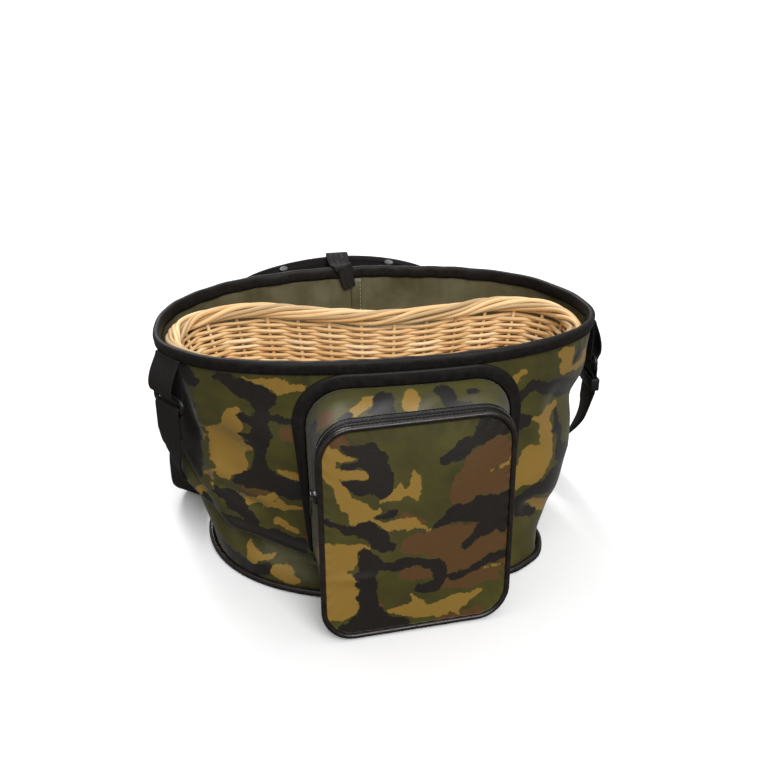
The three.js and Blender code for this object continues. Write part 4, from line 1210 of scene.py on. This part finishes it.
band_face, band_seam = face_edge(0), seam_edge(0, WALL_GAP - SEAM_GAP)
band_depth = np.linalg.norm(band_seam - band_face, axis=1)
band_back = unit(band_seam - band_face)
band_along = unit(np.roll(band_face, -1, 0) - np.roll(band_face, 1, 0))
band_normal = unit(np.cross(band_back, band_along))
band_run = run_of(band_face)
band_share = np.linspace(0, 1, GUSSET_ROWS)[:, None]
band_from = POCKET_PIPING * BAND_START
band_reach = band_from + (band_depth - band_from) * band_share
between = np.sin(np.pi * band_share)
unevenness = BAND_SAG["even"] + BAND_SAG["uneven"] * np.cos(band_run / BAND_SAG["run"])
wander = CRUMPLE["slant"] * band_share + CRUMPLE["wander"] * np.cos(band_run / CRUMPLE["wander_run"])
crumple = CRUMPLE["height"] * between * np.cos(band_run / CRUMPLE["run"] + wander)
high_share = np.clip((band_face[:, 2] - CRUMPLE_FROM_Z) / CRUMPLE_FADE, 0, 1)
crumple = crumple * (CRUMPLE["low"] + CRUMPLE["high"] * high_share)
band_lift = crumple - BAND_SAG["depth"] * between * unevenness
gusset_outer = band_face + band_back * band_reach[:, :, None] + band_normal * band_lift[:, :, None]
gusset_inner = gusset_outer[::-1] - band_normal * CLOTH_THICK
gusset_points = np.concatenate([gusset_outer, gusset_inner]).reshape(-1, 3)
gusset_faces = grid_faces(2 * GUSSET_ROWS, POCKET_COLUMNS, True, True)[:, ::-1]
gusset = mesh_piece("pocket_band", pocket_out(gusset_points), gusset_faces.tolist())
run_grid, reach_grid = np.broadcast_arrays(band_run, band_reach)
print_on(gusset, print_depth(run_grid, reach_grid, rows_of(GUSSET_PRINT)), len(gusset_points))
weave_on(gusset, band_run, np.concatenate([reach_grid, reach_grid[::-1]]))
dress(gusset, camo, "cover_cloth", "pocket_gusset")

# Zip of the pocket: two black tapes sewn to the band, with a nylon coil between them that runs from one
# side over the top to the other.
ZIP_END_Z = 132
ZIP_WIDTH = 13
ZIP_SECTION = (
    (0, 0.2), (0.1, 1.1), (2, 1.3), (4.2, 1.35), (5.0, 1.1),
    (8.0, 1.1), (8.8, 1.35), (11, 1.3), (ZIP_WIDTH, 1.1), (ZIP_WIDTH, 0.2))
ZIP_SEATED_ROWS = 6
ZIP_GAP = 0.3
ZIP_STITCH = {"pitch": 3.4, "length": 2.5, "radius": 0.36}
ZIP_STITCH_LIFT = 1.32
COIL_REACH = (4.9, 8.1)
COIL_LIFT = 1.3
TOOTH_PITCH = 1.5
TOOTH_SLANT = 0.5
TOOTH_RADIUS = 0.55
TOOTH_ARCH = 0.7
TOOTH_SHOULDERS = (0.3, 0.7)
on_zip = np.flatnonzero(band_face[:, 2] > ZIP_END_Z)
zip_from = POCKET_PIPING + ZIP_GAP
zip_seat = np.maximum(band_lift[:ZIP_SEATED_ROWS].max(axis=0)[on_zip], 0)[:, None]


def zip_line(reach, lift):
    seated = band_normal[on_zip] * (lift + zip_seat)
    return pocket_out(band_face[on_zip] + band_back[on_zip] * (zip_from + reach) + seated)


zip_points = np.stack([zip_line(reach, lift) for reach, lift in ZIP_SECTION], 1)
zip_tape = mesh_piece("zip_tape", zip_points.reshape(-1, 3), strip_faces(len(on_zip), len(ZIP_SECTION)))
weave_on(zip_tape, band_run[on_zip][:, None], np.array(ZIP_SECTION)[:, 0])
dress(zip_tape, tape, "trim_tape", "pocket_zip")
zip_normal = pocket_out(band_normal[on_zip])
for name, reach in (("zip_stitches_front", 1.5), ("zip_stitches_back", 11.6)):
    dress(stitches(name, zip_line(reach, ZIP_STITCH_LIFT), zip_normal, **ZIP_STITCH), thread, "trim_tape")
coil, tree, shader = finish("nylon_coil")
mottle(tree, shader, read(tree, "grain"), 0.6, (14, 13, 13), (36, 35, 36), 0.3, 0.45)
coil_near, coil_far = (zip_line(reach, COIL_LIFT) for reach in COIL_REACH)
coil_run = run_of(coil_near)
tooth_ways = []
for where in np.arange(1, coil_run[-1], TOOTH_PITCH):
    near, arch = at_run(where, coil_run, coil_near), at_run(where, coil_run, zip_normal) * TOOTH_ARCH
    far = at_run(where + TOOTH_SLANT, coil_run, coil_far)
    tooth_ways.append([near, *[near + (far - near) * share + arch for share in TOOTH_SHOULDERS], far])
teeth = rods("zip_coil", tooth_ways, [TOOTH_RADIUS] * len(tooth_ways), upright=np.array([0.3, -0.5, 0.8]))
dress(teeth, coil, "trim_tape")

# Binding of the pocket's seam: satin black tape laid flat over the edge where the band meets the wall,
# round both sides and the top.
TAPE_START_Z = 26
TAPE_WIDTH = 13.5
TAPE_SLIM = 3
TAPE_CLEAR = 0.3
TAPE_FULL_FROM_Z = 50
TAPE_FULL_FADE = 140
TAPE_SECTION = ((0.0, 0.2), (0.0, 1.4), (0.15, 2.0), (0.5, 2.2), (0.85, 1.9), (1.0, 1.2), (1.0, 0.2))
tape_near, tape_slim, tape_full = (
    seam_edge(-TAPE_CLEAR - width, WALL_GAP) for width in (0, TAPE_SLIM, TAPE_WIDTH))
on_tape = np.flatnonzero(tape_near[:, 2] > TAPE_START_Z)
fullness = np.clip((tape_near[:, 2:] - TAPE_FULL_FROM_Z) / TAPE_FULL_FADE, 0, 1)
tape_far = tape_slim + (tape_full - tape_slim) * fullness
tape_points = np.stack([
    tape_near[on_tape] + (tape_far - tape_near)[on_tape] * share + np.array([0, -lift, 0])
    for share, lift in TAPE_SECTION], 1)
seam_tape = mesh_piece(
    "pocket_seam_tape", pocket_out(tape_points.reshape(-1, 3)), strip_faces(len(on_tape), len(TAPE_SECTION)))
weave_on(seam_tape, band_run[on_tape][:, None], np.array(TAPE_SECTION)[:, 0] * TAPE_WIDTH)
dress(seam_tape, tape, "trim_tape", "pocket_binding")

# Slider and pull of the zip: small castings in dark nickel plate. The slider straddles the coil at the
# left end, and the pull hangs from its bridge.
SLIDER = {
    "length": 11, "width": 9, "height": 4, "taper": 0.7,
    "bridge": 2.2, "bridge_wall": 0.6, "shoulder": 3}
SLIDER_UP = 5.5
SLIDER_OUT = 2.4
PULL = {
    "length": 24, "width": 7, "thick": 1.6, "neck": 2.5,
    "hole_wall": 1.3, "panel_wall": 1.2, "panel_sink": 0.35}
PULL_UP = -1.0
PULL_OUT = 6.6
FINE_EDGE = {"width": 0.3, "segments": 2}
nickel, tree, shader = finish("dark_nickel", Metallic=1.0)
where = place(tree, "TexCoord").outputs["Object"]
mottle(tree, shader, where, 400.0, (58, 57, 56), (120, 119, 118), 0.22, 0.4)
slider_at = band_face[on_zip[-1]] + band_back[on_zip[-1]] * (zip_from + ZIP_WIDTH / 2)
slider_out = band_normal[on_zip[-1]]
slider_ahead = -band_back[on_zip[-1]]
slider_up = np.cross(slider_out, slider_ahead)


def start_piece(name, add_shape, **sizes):
    bpy.ops.object.select_all(action="DESELECT")
    add_shape(**sizes)
    piece = bpy.context.object
    piece.name = piece.data.name = name
    bpy.ops.object.mode_set(mode="EDIT")
    bpy.ops.mesh.select_mode(type="FACE")
    return piece


def start_block(name, size):
    piece = start_piece(name, bpy.ops.mesh.primitive_cube_add, size=1)
    bpy.ops.transform.resize(value=[side * MM for side in size])
    return piece


def pick_faces(piece, wanted):
    shape = bmesh.from_edit_mesh(piece.data)
    for face in shape.faces:
        face.select_set(False)
    for face in shape.faces:
        if wanted(face.calc_center_median() / MM, face.normal):
            face.select_set(True)
    bmesh.update_edit_mesh(piece.data)


def pierce(wall):
    bpy.ops.mesh.inset(thickness=wall * MM, use_individual=True)
    bpy.ops.mesh.bridge_edge_loops()


def round_off(piece, width, segments):
    bpy.ops.object.mode_set(mode="OBJECT")
    rounding = piece.modifiers.new("rounding", "BEVEL")
    rounding.width, rounding.segments = width * MM, segments
    rounding.limit_method, rounding.angle_limit = "ANGLE", math.radians(30)
    bpy.ops.object.modifier_apply(modifier=rounding.name)
    bpy.ops.object.shade_smooth_by_angle(angle=math.radians(40))


def set_down(piece, axes, spot):
    points = np.array([vertex.co for vertex in piece.data.vertices])
    points = points @ np.array(axes) + np.asarray(spot) * MM
    piece.data.vertices.foreach_set("co", points.astype(np.float32).ravel())
    piece.data.update()


slider_axes = [pocket_out(axis) for axis in (slider_ahead, slider_up, slider_out)]
slider_body = start_block("zip_slider_body", (SLIDER["width"], SLIDER["length"], SLIDER["height"]))
pick_faces(slider_body, lambda centre, normal: normal.y < -0.9)
bpy.ops.transform.resize(value=(SLIDER["taper"], 1, 1))
pick_faces(slider_body, lambda centre, normal: normal.z > 0.9)
bpy.ops.mesh.inset(thickness=SLIDER["shoulder"] * MM)
bpy.ops.mesh.extrude_region_move(TRANSFORM_OT_translate={"value": (0, 0, SLIDER["bridge"] * MM)})
pick_faces(slider_body, lambda centre, normal: abs(normal.x) > 0.7 and centre.z > SLIDER["height"] / 2)
pierce(SLIDER["bridge_wall"])
round_off(slider_body, **FINE_EDGE)
set_down(slider_body, slider_axes, pocket_out(slider_at + slider_up * SLIDER_UP + slider_out * SLIDER_OUT))
dress(slider_body, nickel, "metal", "zip_slider")
pull_tab = start_block("zip_pull_tab", (PULL["width"], PULL["length"], PULL["thick"]))
bpy.ops.mesh.bisect(plane_co=(0, PULL["neck"] * MM, 0), plane_no=(0, 1, 0))
pick_faces(pull_tab, lambda centre, normal: abs(normal.z) > 0.9 and centre.y > PULL["neck"])
pierce(PULL["hole_wall"])
pick_faces(pull_tab, lambda centre, normal: abs(normal.z) > 0.9 and centre.y < 0 and abs(centre.x) < 0.5)
bpy.ops.mesh.inset(thickness=PULL["panel_wall"] * MM, depth=-PULL["panel_sink"] * MM, use_individual=True)
round_off(pull_tab, **FINE_EDGE)
set_down(pull_tab, slider_axes, pocket_out(slider_at + slider_up * PULL_UP + slider_out * PULL_OUT))
dress(pull_tab, nickel, "metal", "zip_pull")

# Webbing of the strap ends: short loops of black woven webbing sewn under the rim at both ends, each
# carrying a plastic ring.
WEB_WIDTH = 38
WEB_THICK = 1.8
RING_BAR = 2.4
RING_TOP_Z = 181
RING_HEIGHT = 12
LOOP_TOP_Z = 216
LOOP_BOW = {"left": 5.5, "right": 2.5}
LOOP_STEP = 1.5
BOW_POWER = 0.6
SEWN_TOP_Z = 220
STRAP_ENDS = {"left": 192, "right": 358}
loop_radius = RING_BAR + SEAM_GAP + WEB_THICK / 2
layer_gap = WEB_THICK + SEAM_GAP
inner_line = SEAM_GAP + WEB_THICK / 2
bar_line = inner_line + loop_radius
outer_line = bar_line + loop_radius
lower_bar_z = RING_TOP_Z - RING_HEIGHT
webbing, tree, shader = finish("black_webbing", Specular_IOR_Level=0.25)
web_at = read(tree, "weave")
parts = place(tree, "SeparateXYZ", {0: web_at})
slant = math_node(tree, "PINGPONG", parts.outputs[1], 3.0)
slanted = math_node(tree, "ADD", parts.outputs[0], slant)
twill = math_node(tree, "SINE", math_node(tree, "MULTIPLY", slanted, 4.2))
fuzz = noise(tree, web_at, 0.5, 4.0, 0.65)
web_tone = ramp(tree, span(tree, twill, -1.0, 1.0), [(0.2, linear(10, 8, 8)), (0.9, linear(30, 25, 24))])
feed(tree, shader, Base_Color=web_tone, Roughness=span(tree, fuzz, 0.3, 0.7, 0.5, 0.7))
bump(tree, math_node(tree, "ADD", twill, fuzz), 0.4, 0.0006, shader)


def ribbon(name, points, across, width, thick, crown=0.0):
    points = np.asarray(points, float)
    width = np.broadcast_to(width, len(points))
    along = unit(np.gradient(points, axis=0))
    across = np.broadcast_to(across, points.shape)
    across = unit(across - along * (across * along).sum(-1, keepdims=True))
    normal = np.cross(along, across)
    half = thick / 2
    turns = np.radians([-90, -45, 0, 45, 90])
    right = [(1.0, half * math.cos(turn), half * math.sin(turn)) for turn in turns]
    top = [(share, 0.0, half + crown * (1 - share ** 2)) for share in (0.6, 0.2, -0.2, -0.6)]
    section = np.array(right + top)
    section = np.concatenate([section, -section])
    sideways = section[:, 0] * (width[:, None] / 2 - half) + section[:, 1]
    rings = points[:, None] + sideways[:, :, None] * across[:, None] + section[:, 2, None] * normal[:, None]
    piece = mesh_piece(name, rings.reshape(-1, 3), strip_faces(len(points), len(section)))
    web = stacked(run_of(points)[:, None], sideways, section[:, 2])
    point_values(piece, "weave", web.reshape(-1, 3))
    return piece


def half_turn(centre, radius, from_deg, to_deg):
    turns = np.radians(np.linspace(from_deg, to_deg, 13))
    return [(centre[0] + radius * math.cos(turn), centre[1] + radius * math.sin(turn)) for turn in turns]


def resample(way, step):
    run = run_of(way)
    return at_run(np.linspace(0, run[-1], max(int(run[-1] / step), 2) + 1), run, way)


end_frames = {}
for side, degrees in STRAP_ENDS.items():
    angle = math.radians(degrees)
    seat = wall_point(angle, float(LOOP_TOP_Z))
    outwards = wall_point(angle, float(LOOP_TOP_Z), 1.0) - seat
    end_frames[side] = {"seat": seat * [1, 1, 0], "out": outwards, "across": np.cross(outwards, UP)}


def end_place(side, flat_way):
    flat_way = np.asarray(flat_way, float)
    end = end_frames[side]
    return end["seat"] + flat_way[:, :1] * end["out"] + flat_way[:, 1:] * UP


loop_drop = LOOP_TOP_Z - RING_TOP_Z
leg_back = outer_line - inner_line - layer_gap
leg_shares = np.linspace(0.1, 1, 12)
for side, bow in LOOP_BOW.items():
    outer_leg = [
        (outer_line + bow * math.sin(math.pi * share ** BOW_POWER) - leg_back * share ** 2,
         RING_TOP_Z + loop_drop * share) for share in leg_shares]
    loop_way = end_place(side, resample([
        (inner_line, SEWN_TOP_Z), *half_turn((bar_line, RING_TOP_Z), loop_radius, 180, 360), *outer_leg,
        (inner_line + WEB_THICK / 2, SEWN_TOP_Z)], LOOP_STEP))
    loop = ribbon(f"strap_end_{side}", loop_way, end_frames[side]["across"], WEB_WIDTH, WEB_THICK)
    dress(loop, webbing, "webbing", f"strap_loop_{side}")

# Rings: black moulded plastic, each a rounded rectangle of round bar that joins a webbing loop to the
# folded end of the shoulder strap.
RING_CLEAR = 1
RING_SEGMENTS = {"major_segments": 64, "minor_segments": 14}
plastic, tree, shader = finish("moulded_plastic", Specular_IOR_Level=0.4)
where = place(tree, "TexCoord").outputs["Object"]
mottle(tree, shader, where, 60.0, (12, 11, 11), (26, 25, 25), 0.32, 0.5)
bump(tree, noise(tree, where, 900.0), 0.15, 0.0003, shader)
ring_stretch = WEB_WIDTH / 2 + RING_BAR + RING_CLEAR - RING_HEIGHT / 2
for side, end in end_frames.items():
    ring = start_piece(
        f"strap_ring_bar_{side}", bpy.ops.mesh.primitive_torus_add,
        major_radius=RING_HEIGHT / 2 * MM, minor_radius=RING_BAR * MM, **RING_SEGMENTS)
    for way in (1, -1):
        pick_faces(ring, lambda centre, normal: centre.x * way > 0)
        bpy.ops.transform.translate(value=(way * ring_stretch * MM, 0, 0))
    bpy.ops.object.mode_set(mode="OBJECT")
    bpy.ops.object.shade_smooth()
    ring_at = end["seat"] + bar_line * end["out"] + (RING_TOP_Z - RING_HEIGHT / 2) * UP
    set_down(ring, [-end["across"], UP, end["out"]], ring_at)
    dress(ring, plastic, "black_plastic", f"strap_ring_{side}")

# Shoulder strap: one length of black webbing, folded round the ring at each end and sewn back on itself.
# It hangs from both rings and lies flat on the ground behind the cover.
STRAP_TAIL = 28
FOLD_REACH = 3
FOLD_STEP = 2.0
STRAP_WAY = """
    x y z face_deg lift_deg
    -207 -42 112 206   2
    -205 -12  84 216   0
    -204  22  52 232  -5
    -202  46  20 240 -16
    -194  65 4.6 234 -62
    -166 100 1.7 228 -90
    -110 140 1.7 206 -90
     -10 164 1.7 180 -90
      95 150 1.7 152 -90
     166 110 1.7 128 -90
     192  82   5 -52 -66
     204  56  22 -48 -24
     210  31  52 -44  -4
     214   9  88 -38   2
     217  -4 114 -12   0
"""
STRAP_STEPS = 220
NUDGE = 1e-4


def smooth_way(points, shares):
    points = np.asarray(points, float)
    points = np.concatenate([[2 * points[0] - points[1]], points, [2 * points[-1] - points[-2]]])
    gaps = np.linalg.norm(np.diff(points, axis=0), axis=1) ** 0.5
    way = []
    for share in shares:
        place_at = share * (len(points) - 3)
        row = min(int(place_at), len(points) - 4)
        part = place_at - row
        before, start, end, after = points[row:row + 4]
        gap0, gap1, gap2 = gaps[row:row + 3]
        leave = ((start - before) / gap0 - (end - before) / (gap0 + gap1) + (end - start) / gap1) * gap1
        arrive = ((end - start) / gap1 - (after - start) / (gap1 + gap2) + (after - end) / gap2) * gap1
        square = -3 * start + 3 * end - 2 * leave - arrive
        cube = 2 * start - 2 * end + leave + arrive
        way.append(start + leave * part + square * part ** 2 + cube * part ** 3)
    return np.array(way)


tail_line = outer_line - layer_gap
tail_z, fold_z = lower_bar_z - STRAP_TAIL, lower_bar_z - FOLD_REACH * loop_radius
fold_way = resample([
    (tail_line, tail_z), (tail_line, fold_z), *half_turn((bar_line, lower_bar_z), loop_radius, 180, 0),
    (outer_line, fold_z), (outer_line, tail_z)], FOLD_STEP)
left_fold, right_fold = end_place("left", fold_way), end_place("right", fold_way)[::-1]
strap_rows = rows_of(STRAP_WAY)
free_knots = [[row["x"], row["y"], row["z"]] for row in strap_rows]
strap_knots = np.array([left_fold[-1], *free_knots, right_fold[0]])
knot_shares = np.linspace(0, 1, len(strap_knots))
knot_ahead = unit(
    smooth_way(strap_knots, np.minimum(knot_shares + NUDGE, 1))
    - smooth_way(strap_knots, np.maximum(knot_shares - NUDGE, 0)))
knot_across = [-end_frames["left"]["across"]]
for row, ahead in zip(strap_rows, knot_ahead[1:-1]):
    turn, lift = math.radians(row["face_deg"]), math.radians(row["lift_deg"])
    face = np.array([math.cos(lift) * math.cos(turn), math.cos(lift) * math.sin(turn), math.sin(lift)])
    knot_across.append(unit(np.cross(face, ahead)))
knot_across = np.array([*knot_across, end_frames["right"]["across"]])
strap_shares = np.arange(1, STRAP_STEPS) / STRAP_STEPS
free_way = smooth_way(strap_knots, strap_shares)
free_across = at_run(strap_shares, knot_shares, knot_across)
strap_line = np.concatenate([left_fold, free_way, right_fold])
strap_across = np.concatenate([
    np.tile(knot_across[0], (len(left_fold), 1)), free_across,
    np.tile(knot_across[-1], (len(right_fold), 1))])
strap = ribbon("shoulder_strap_web", strap_line, strap_across, WEB_WIDTH, WEB_THICK)
dress(strap, webbing, "webbing", "shoulder_strap")

# Adjuster: a moulded plastic frame pushed over both layers of webbing below the right ring, holding the
# strap's length.
ADJUSTER_HEIGHT = 13
ADJUSTER_WALL = 1.8
ADJUSTER_CLEAR = 0.6
ADJUSTER_LIFT = 3
ADJUSTER_EDGE = {"width": 0.8, "segments": 3}
adjuster_rim = 2 * (ADJUSTER_CLEAR + ADJUSTER_WALL)
adjuster_body = start_block(
    "strap_adjuster_frame",
    (2 * WEB_THICK + SEAM_GAP + adjuster_rim, ADJUSTER_HEIGHT, WEB_WIDTH + adjuster_rim))
pick_faces(adjuster_body, lambda centre, normal: abs(normal.y) > 0.9)
pierce(ADJUSTER_WALL)
round_off(adjuster_body, **ADJUSTER_EDGE)
end = end_frames["right"]
adjuster_z = tail_z + ADJUSTER_LIFT + ADJUSTER_HEIGHT / 2
adjuster_at = end["seat"] + (outer_line + tail_line) / 2 * end["out"] + adjuster_z * UP
set_down(adjuster_body, [end["out"], UP, end["across"]], adjuster_at)
dress(adjuster_body, plastic, "black_plastic", "strap_adjuster")

# Grab handle: doubled black webbing along the back of the rim, riveted near both ends and arched away
# from the rim between them so that a hand fits behind it.
HANDLE_MIDDLE = math.radians(98.7)
HANDLE_HALF = math.radians(35)
HANDLE_HEIGHT = 26
HANDLE_THICK = 3
HANDLE_CROWN = 0.5
HANDLE_BOW = 13
HANDLE_RISE = 9
HANDLE_STEPS = 121
ARCH_POWER = 0.7
OUTER_LEG = 2.1


def handle_lift(share):
    return np.maximum(np.cos(share * np.pi / 2), 0) ** ARCH_POWER


handle_share = np.linspace(-1, 1, HANDLE_STEPS)
lift = handle_lift(handle_share)
handle_way = wall_point(
    HANDLE_MIDDLE + handle_share * HANDLE_HALF, float(RIM_HEIGHT),
    OUTER_LEG + SEAM_GAP + HANDLE_BOW * lift + HANDLE_THICK / 2,
    RIM_HEIGHT + HANDLE_RISE * lift - HANDLE_HEIGHT / 2)
handle = ribbon("grab_handle", handle_way, -UP, HANDLE_HEIGHT, HANDLE_THICK, HANDLE_CROWN)
dress(handle, webbing, "webbing", "carry_handle")

# Rivets: oval nickel-plated heads with a stepped edge, set through the handle from inside and a little
# tilted by the pull of the webbing.
RIVET_SHARE = 0.62
RIVET_TILT = math.radians(32)
RIVET_TURN = 0.17
RIVET_GAP = 0.2
RIVET_Z = RIM_HEIGHT + 1.0
RIVET_PROUD = 3.0
RIVET_SIDES = 32
RIVET = {"radius": 5, "oval": 0.6, "depth": 4.6, "edge": 0.9, "crown": 0.4, "rise": 0.25}
rivet_steel, tree, shader = finish("rivet_nickel", Metallic=1.0)
where = place(tree, "TexCoord").outputs["Object"]
mottle(tree, shader, where, 500.0, (92, 92, 94), (132, 132, 134), 0.5, 0.65)
for side, sign in (("left", 1), ("right", -1)):
    angle = HANDLE_MIDDLE + sign * RIVET_SHARE * HANDLE_HALF
    near = OUTER_LEG + HANDLE_BOW * handle_lift(RIVET_SHARE) + RIVET_GAP
    seat = wall_point(angle, float(RIM_HEIGHT), near, RIVET_Z)
    inwards = seat - wall_point(angle, float(RIM_HEIGHT), near + 1, RIVET_Z)
    turn_cos, turn_sin = math.cos(sign * RIVET_TURN), math.sin(sign * RIVET_TURN)
    inwards = np.array([
        inwards[0] * turn_cos - inwards[1] * turn_sin, inwards[0] * turn_sin + inwards[1] * turn_cos, 0.0])
    beside = unit(np.cross(UP, inwards))
    axis = inwards * math.cos(RIVET_TILT) + UP * math.sin(RIVET_TILT)
    rivet = start_piece(
        f"rivet_head_{side}", bpy.ops.mesh.primitive_cylinder_add, vertices=RIVET_SIDES,
        radius=RIVET["radius"] * MM, depth=RIVET["depth"] * MM)
    bpy.ops.transform.resize(value=(1, RIVET["oval"], 1))
    pick_faces(rivet, lambda centre, normal: normal.z > 0.9)
    for rise in (RIVET["crown"], RIVET["rise"]):
        bpy.ops.mesh.inset(thickness=RIVET["edge"] * MM)
        bpy.ops.transform.translate(value=(0, 0, rise * MM))
    round_off(rivet, **FINE_EDGE)
    set_down(rivet, [beside, np.cross(axis, beside), axis], seat + axis * (RIVET_PROUD - RIVET["depth"] / 2))
    dress(rivet, rivet_steel, "metal", f"handle_rivet_{side}")

# Tab: a narrow piece of webbing sewn inside the rim, taken up over rim and handle and back to the wall,
# which keeps the handle from dropping.
TAB_WIDTH = 24
TAB_STEPS = 90
TAIL_STEPS = 34
TAIL_LEAN = -11
TAIL_SLIM = 11
BINDING_THICK = 1.5
BINDING_GAP = 0.6
TAB_WAY = """
    start out up
    binding -3.9 -19.6
    binding -2.8 -14
    binding 0 0
    binding 1.2 3.5
    rim 2 4.7
    crest -6 1
    crest -1.5 2
    crest 1.3 0
    crest 2.1 -4.3
    crest 1.3 -29.3
    foot 3 -20
    foot 0 -26
    foot -1 -38
"""
tab_over = WEB_THICK / 2 + SEAM_GAP
handle_top = RIM_HEIGHT + HANDLE_RISE
TAB_STARTS = {
    "binding": (-CLOTH_THICK - 2 * BINDING_GAP - BINDING_THICK - WEB_THICK, RIM_HEIGHT),
    "rim": (0, RIM_HEIGHT),
    "crest": (OUTER_LEG + SEAM_GAP + HANDLE_BOW + HANDLE_THICK, handle_top + tab_over),
    "foot": (SEAM_GAP + tab_over, handle_top - HANDLE_HEIGHT),
}
tab_knots = [np.add(TAB_STARTS[row["start"]], (row["out"], row["up"])) for row in rows_of(TAB_WAY)]
tab_seat = wall_point(HANDLE_MIDDLE, float(RIM_HEIGHT))
tab_out = wall_point(HANDLE_MIDDLE, float(RIM_HEIGHT), 1.0) - tab_seat
tab_flat = smooth_way(tab_knots, np.linspace(0, 1, TAB_STEPS))
tab_way = tab_seat * [1, 1, 0] + tab_flat[:, :1] * tab_out + tab_flat[:, 1:] * UP
tail_share = np.clip(1 - np.arange(TAB_STEPS) / TAIL_STEPS, 0, 1)
tab_way = tab_way + np.cross(UP, tab_out) * (TAIL_LEAN * tail_share)[:, None]
tab = ribbon("handle_tab", tab_way, np.cross(tab_out, UP), TAB_WIDTH - TAIL_SLIM * tail_share, WEB_THICK)
dress(tab, webbing, "webbing", "centre_tab")

# Ground and light: a plain pale floor, a white surround and three broad soft lights. Both floor and
# surround look paler to the camera than the light that they give.
GROUND_SIZE = 40
GROUND_SEEN = (0.92, 0.92, 0.92, 1)
GROUND_GIVES = (0.13, 0.12, 0.11, 1)
SURROUND_SEEN = 1.0
SURROUND_GIVES = 0.4
LIGHT_AIM = np.array([0.0, 0.0, 0.1])
LIGHTS = """
    name kind x y z angle power
    key SUN 0.3 -1.5 1.45 0.7 2.5
    sky SUN 0.15 0.3 2.2 1.3 0.95
    window SUN -0.3 1.3 1.35 0.35 1.5
"""
bpy.ops.object.select_all(action="DESELECT")
bpy.ops.mesh.primitive_plane_add(size=GROUND_SIZE)
ground = bpy.context.object
ground.name = "ground"
ground_paint, tree, shader = finish("pale_ground", Roughness=0.9, Specular_IOR_Level=0.1)
seen = place(tree, "LightPath").outputs["Is Camera Ray"]
feed(tree, shader, Base_Color=mix(tree, seen, GROUND_GIVES, GROUND_SEEN))
ground.data.materials.append(ground_paint)

world = bpy.data.worlds.new("studio")
bpy.context.scene.world = world
world.use_nodes = True
dome = world.node_tree
dome_light = dome.nodes["Background"]
dome_light.inputs["Color"].default_value = (1, 1, 1, 1)
seen = place(dome, "LightPath").outputs["Is Camera Ray"]
feed(dome, dome_light, Strength=span(dome, seen, 0.0, 1.0, SURROUND_GIVES, SURROUND_SEEN))
bpy.context.scene.view_settings.view_transform = "Standard"

for row in rows_of(LIGHTS):
    lamp = bpy.data.lights.new(row["name"], row["kind"])
    lamp.energy = row["power"]
    lamp.angle = row["angle"]
    light = bpy.data.objects.new(row["name"], lamp)
    bpy.context.collection.objects.link(light)
    light.visible_camera = False
    light.location = (row["x"], row["y"], row["z"])
    aim = LIGHT_AIM - np.array(light.location)
    light.rotation_euler = (math.atan2(math.hypot(aim[0], aim[1]), -aim[2]), 0, math.atan2(-aim[0], aim[1]))

# Camera, a little to the left of the pocket and above it.
CAMERA = {
    "azimuth": math.radians(-8.86), "elevation": math.radians(26.18), "distance": 0.9986,
    "target": np.array([0.0053, 0.0, 0.1542]), "focal_px": 983.6, "picture_px": 768}
lens = bpy.data.cameras.new("camera")
camera = bpy.data.objects.new("camera", lens)
bpy.context.collection.objects.link(camera)
lens.sensor_width = 36
lens.lens = CAMERA["focal_px"] / CAMERA["picture_px"] * lens.sensor_width
azimuth, elevation = CAMERA["azimuth"], CAMERA["elevation"]
back = np.array([
    math.sin(azimuth) * math.cos(elevation), -math.cos(azimuth) * math.cos(elevation), math.sin(elevation)])
camera.location = CAMERA["target"] + CAMERA["distance"] * back
camera.rotation_euler = (math.pi / 2 - elevation, 0, azimuth)
bpy.context.scene.camera = camera
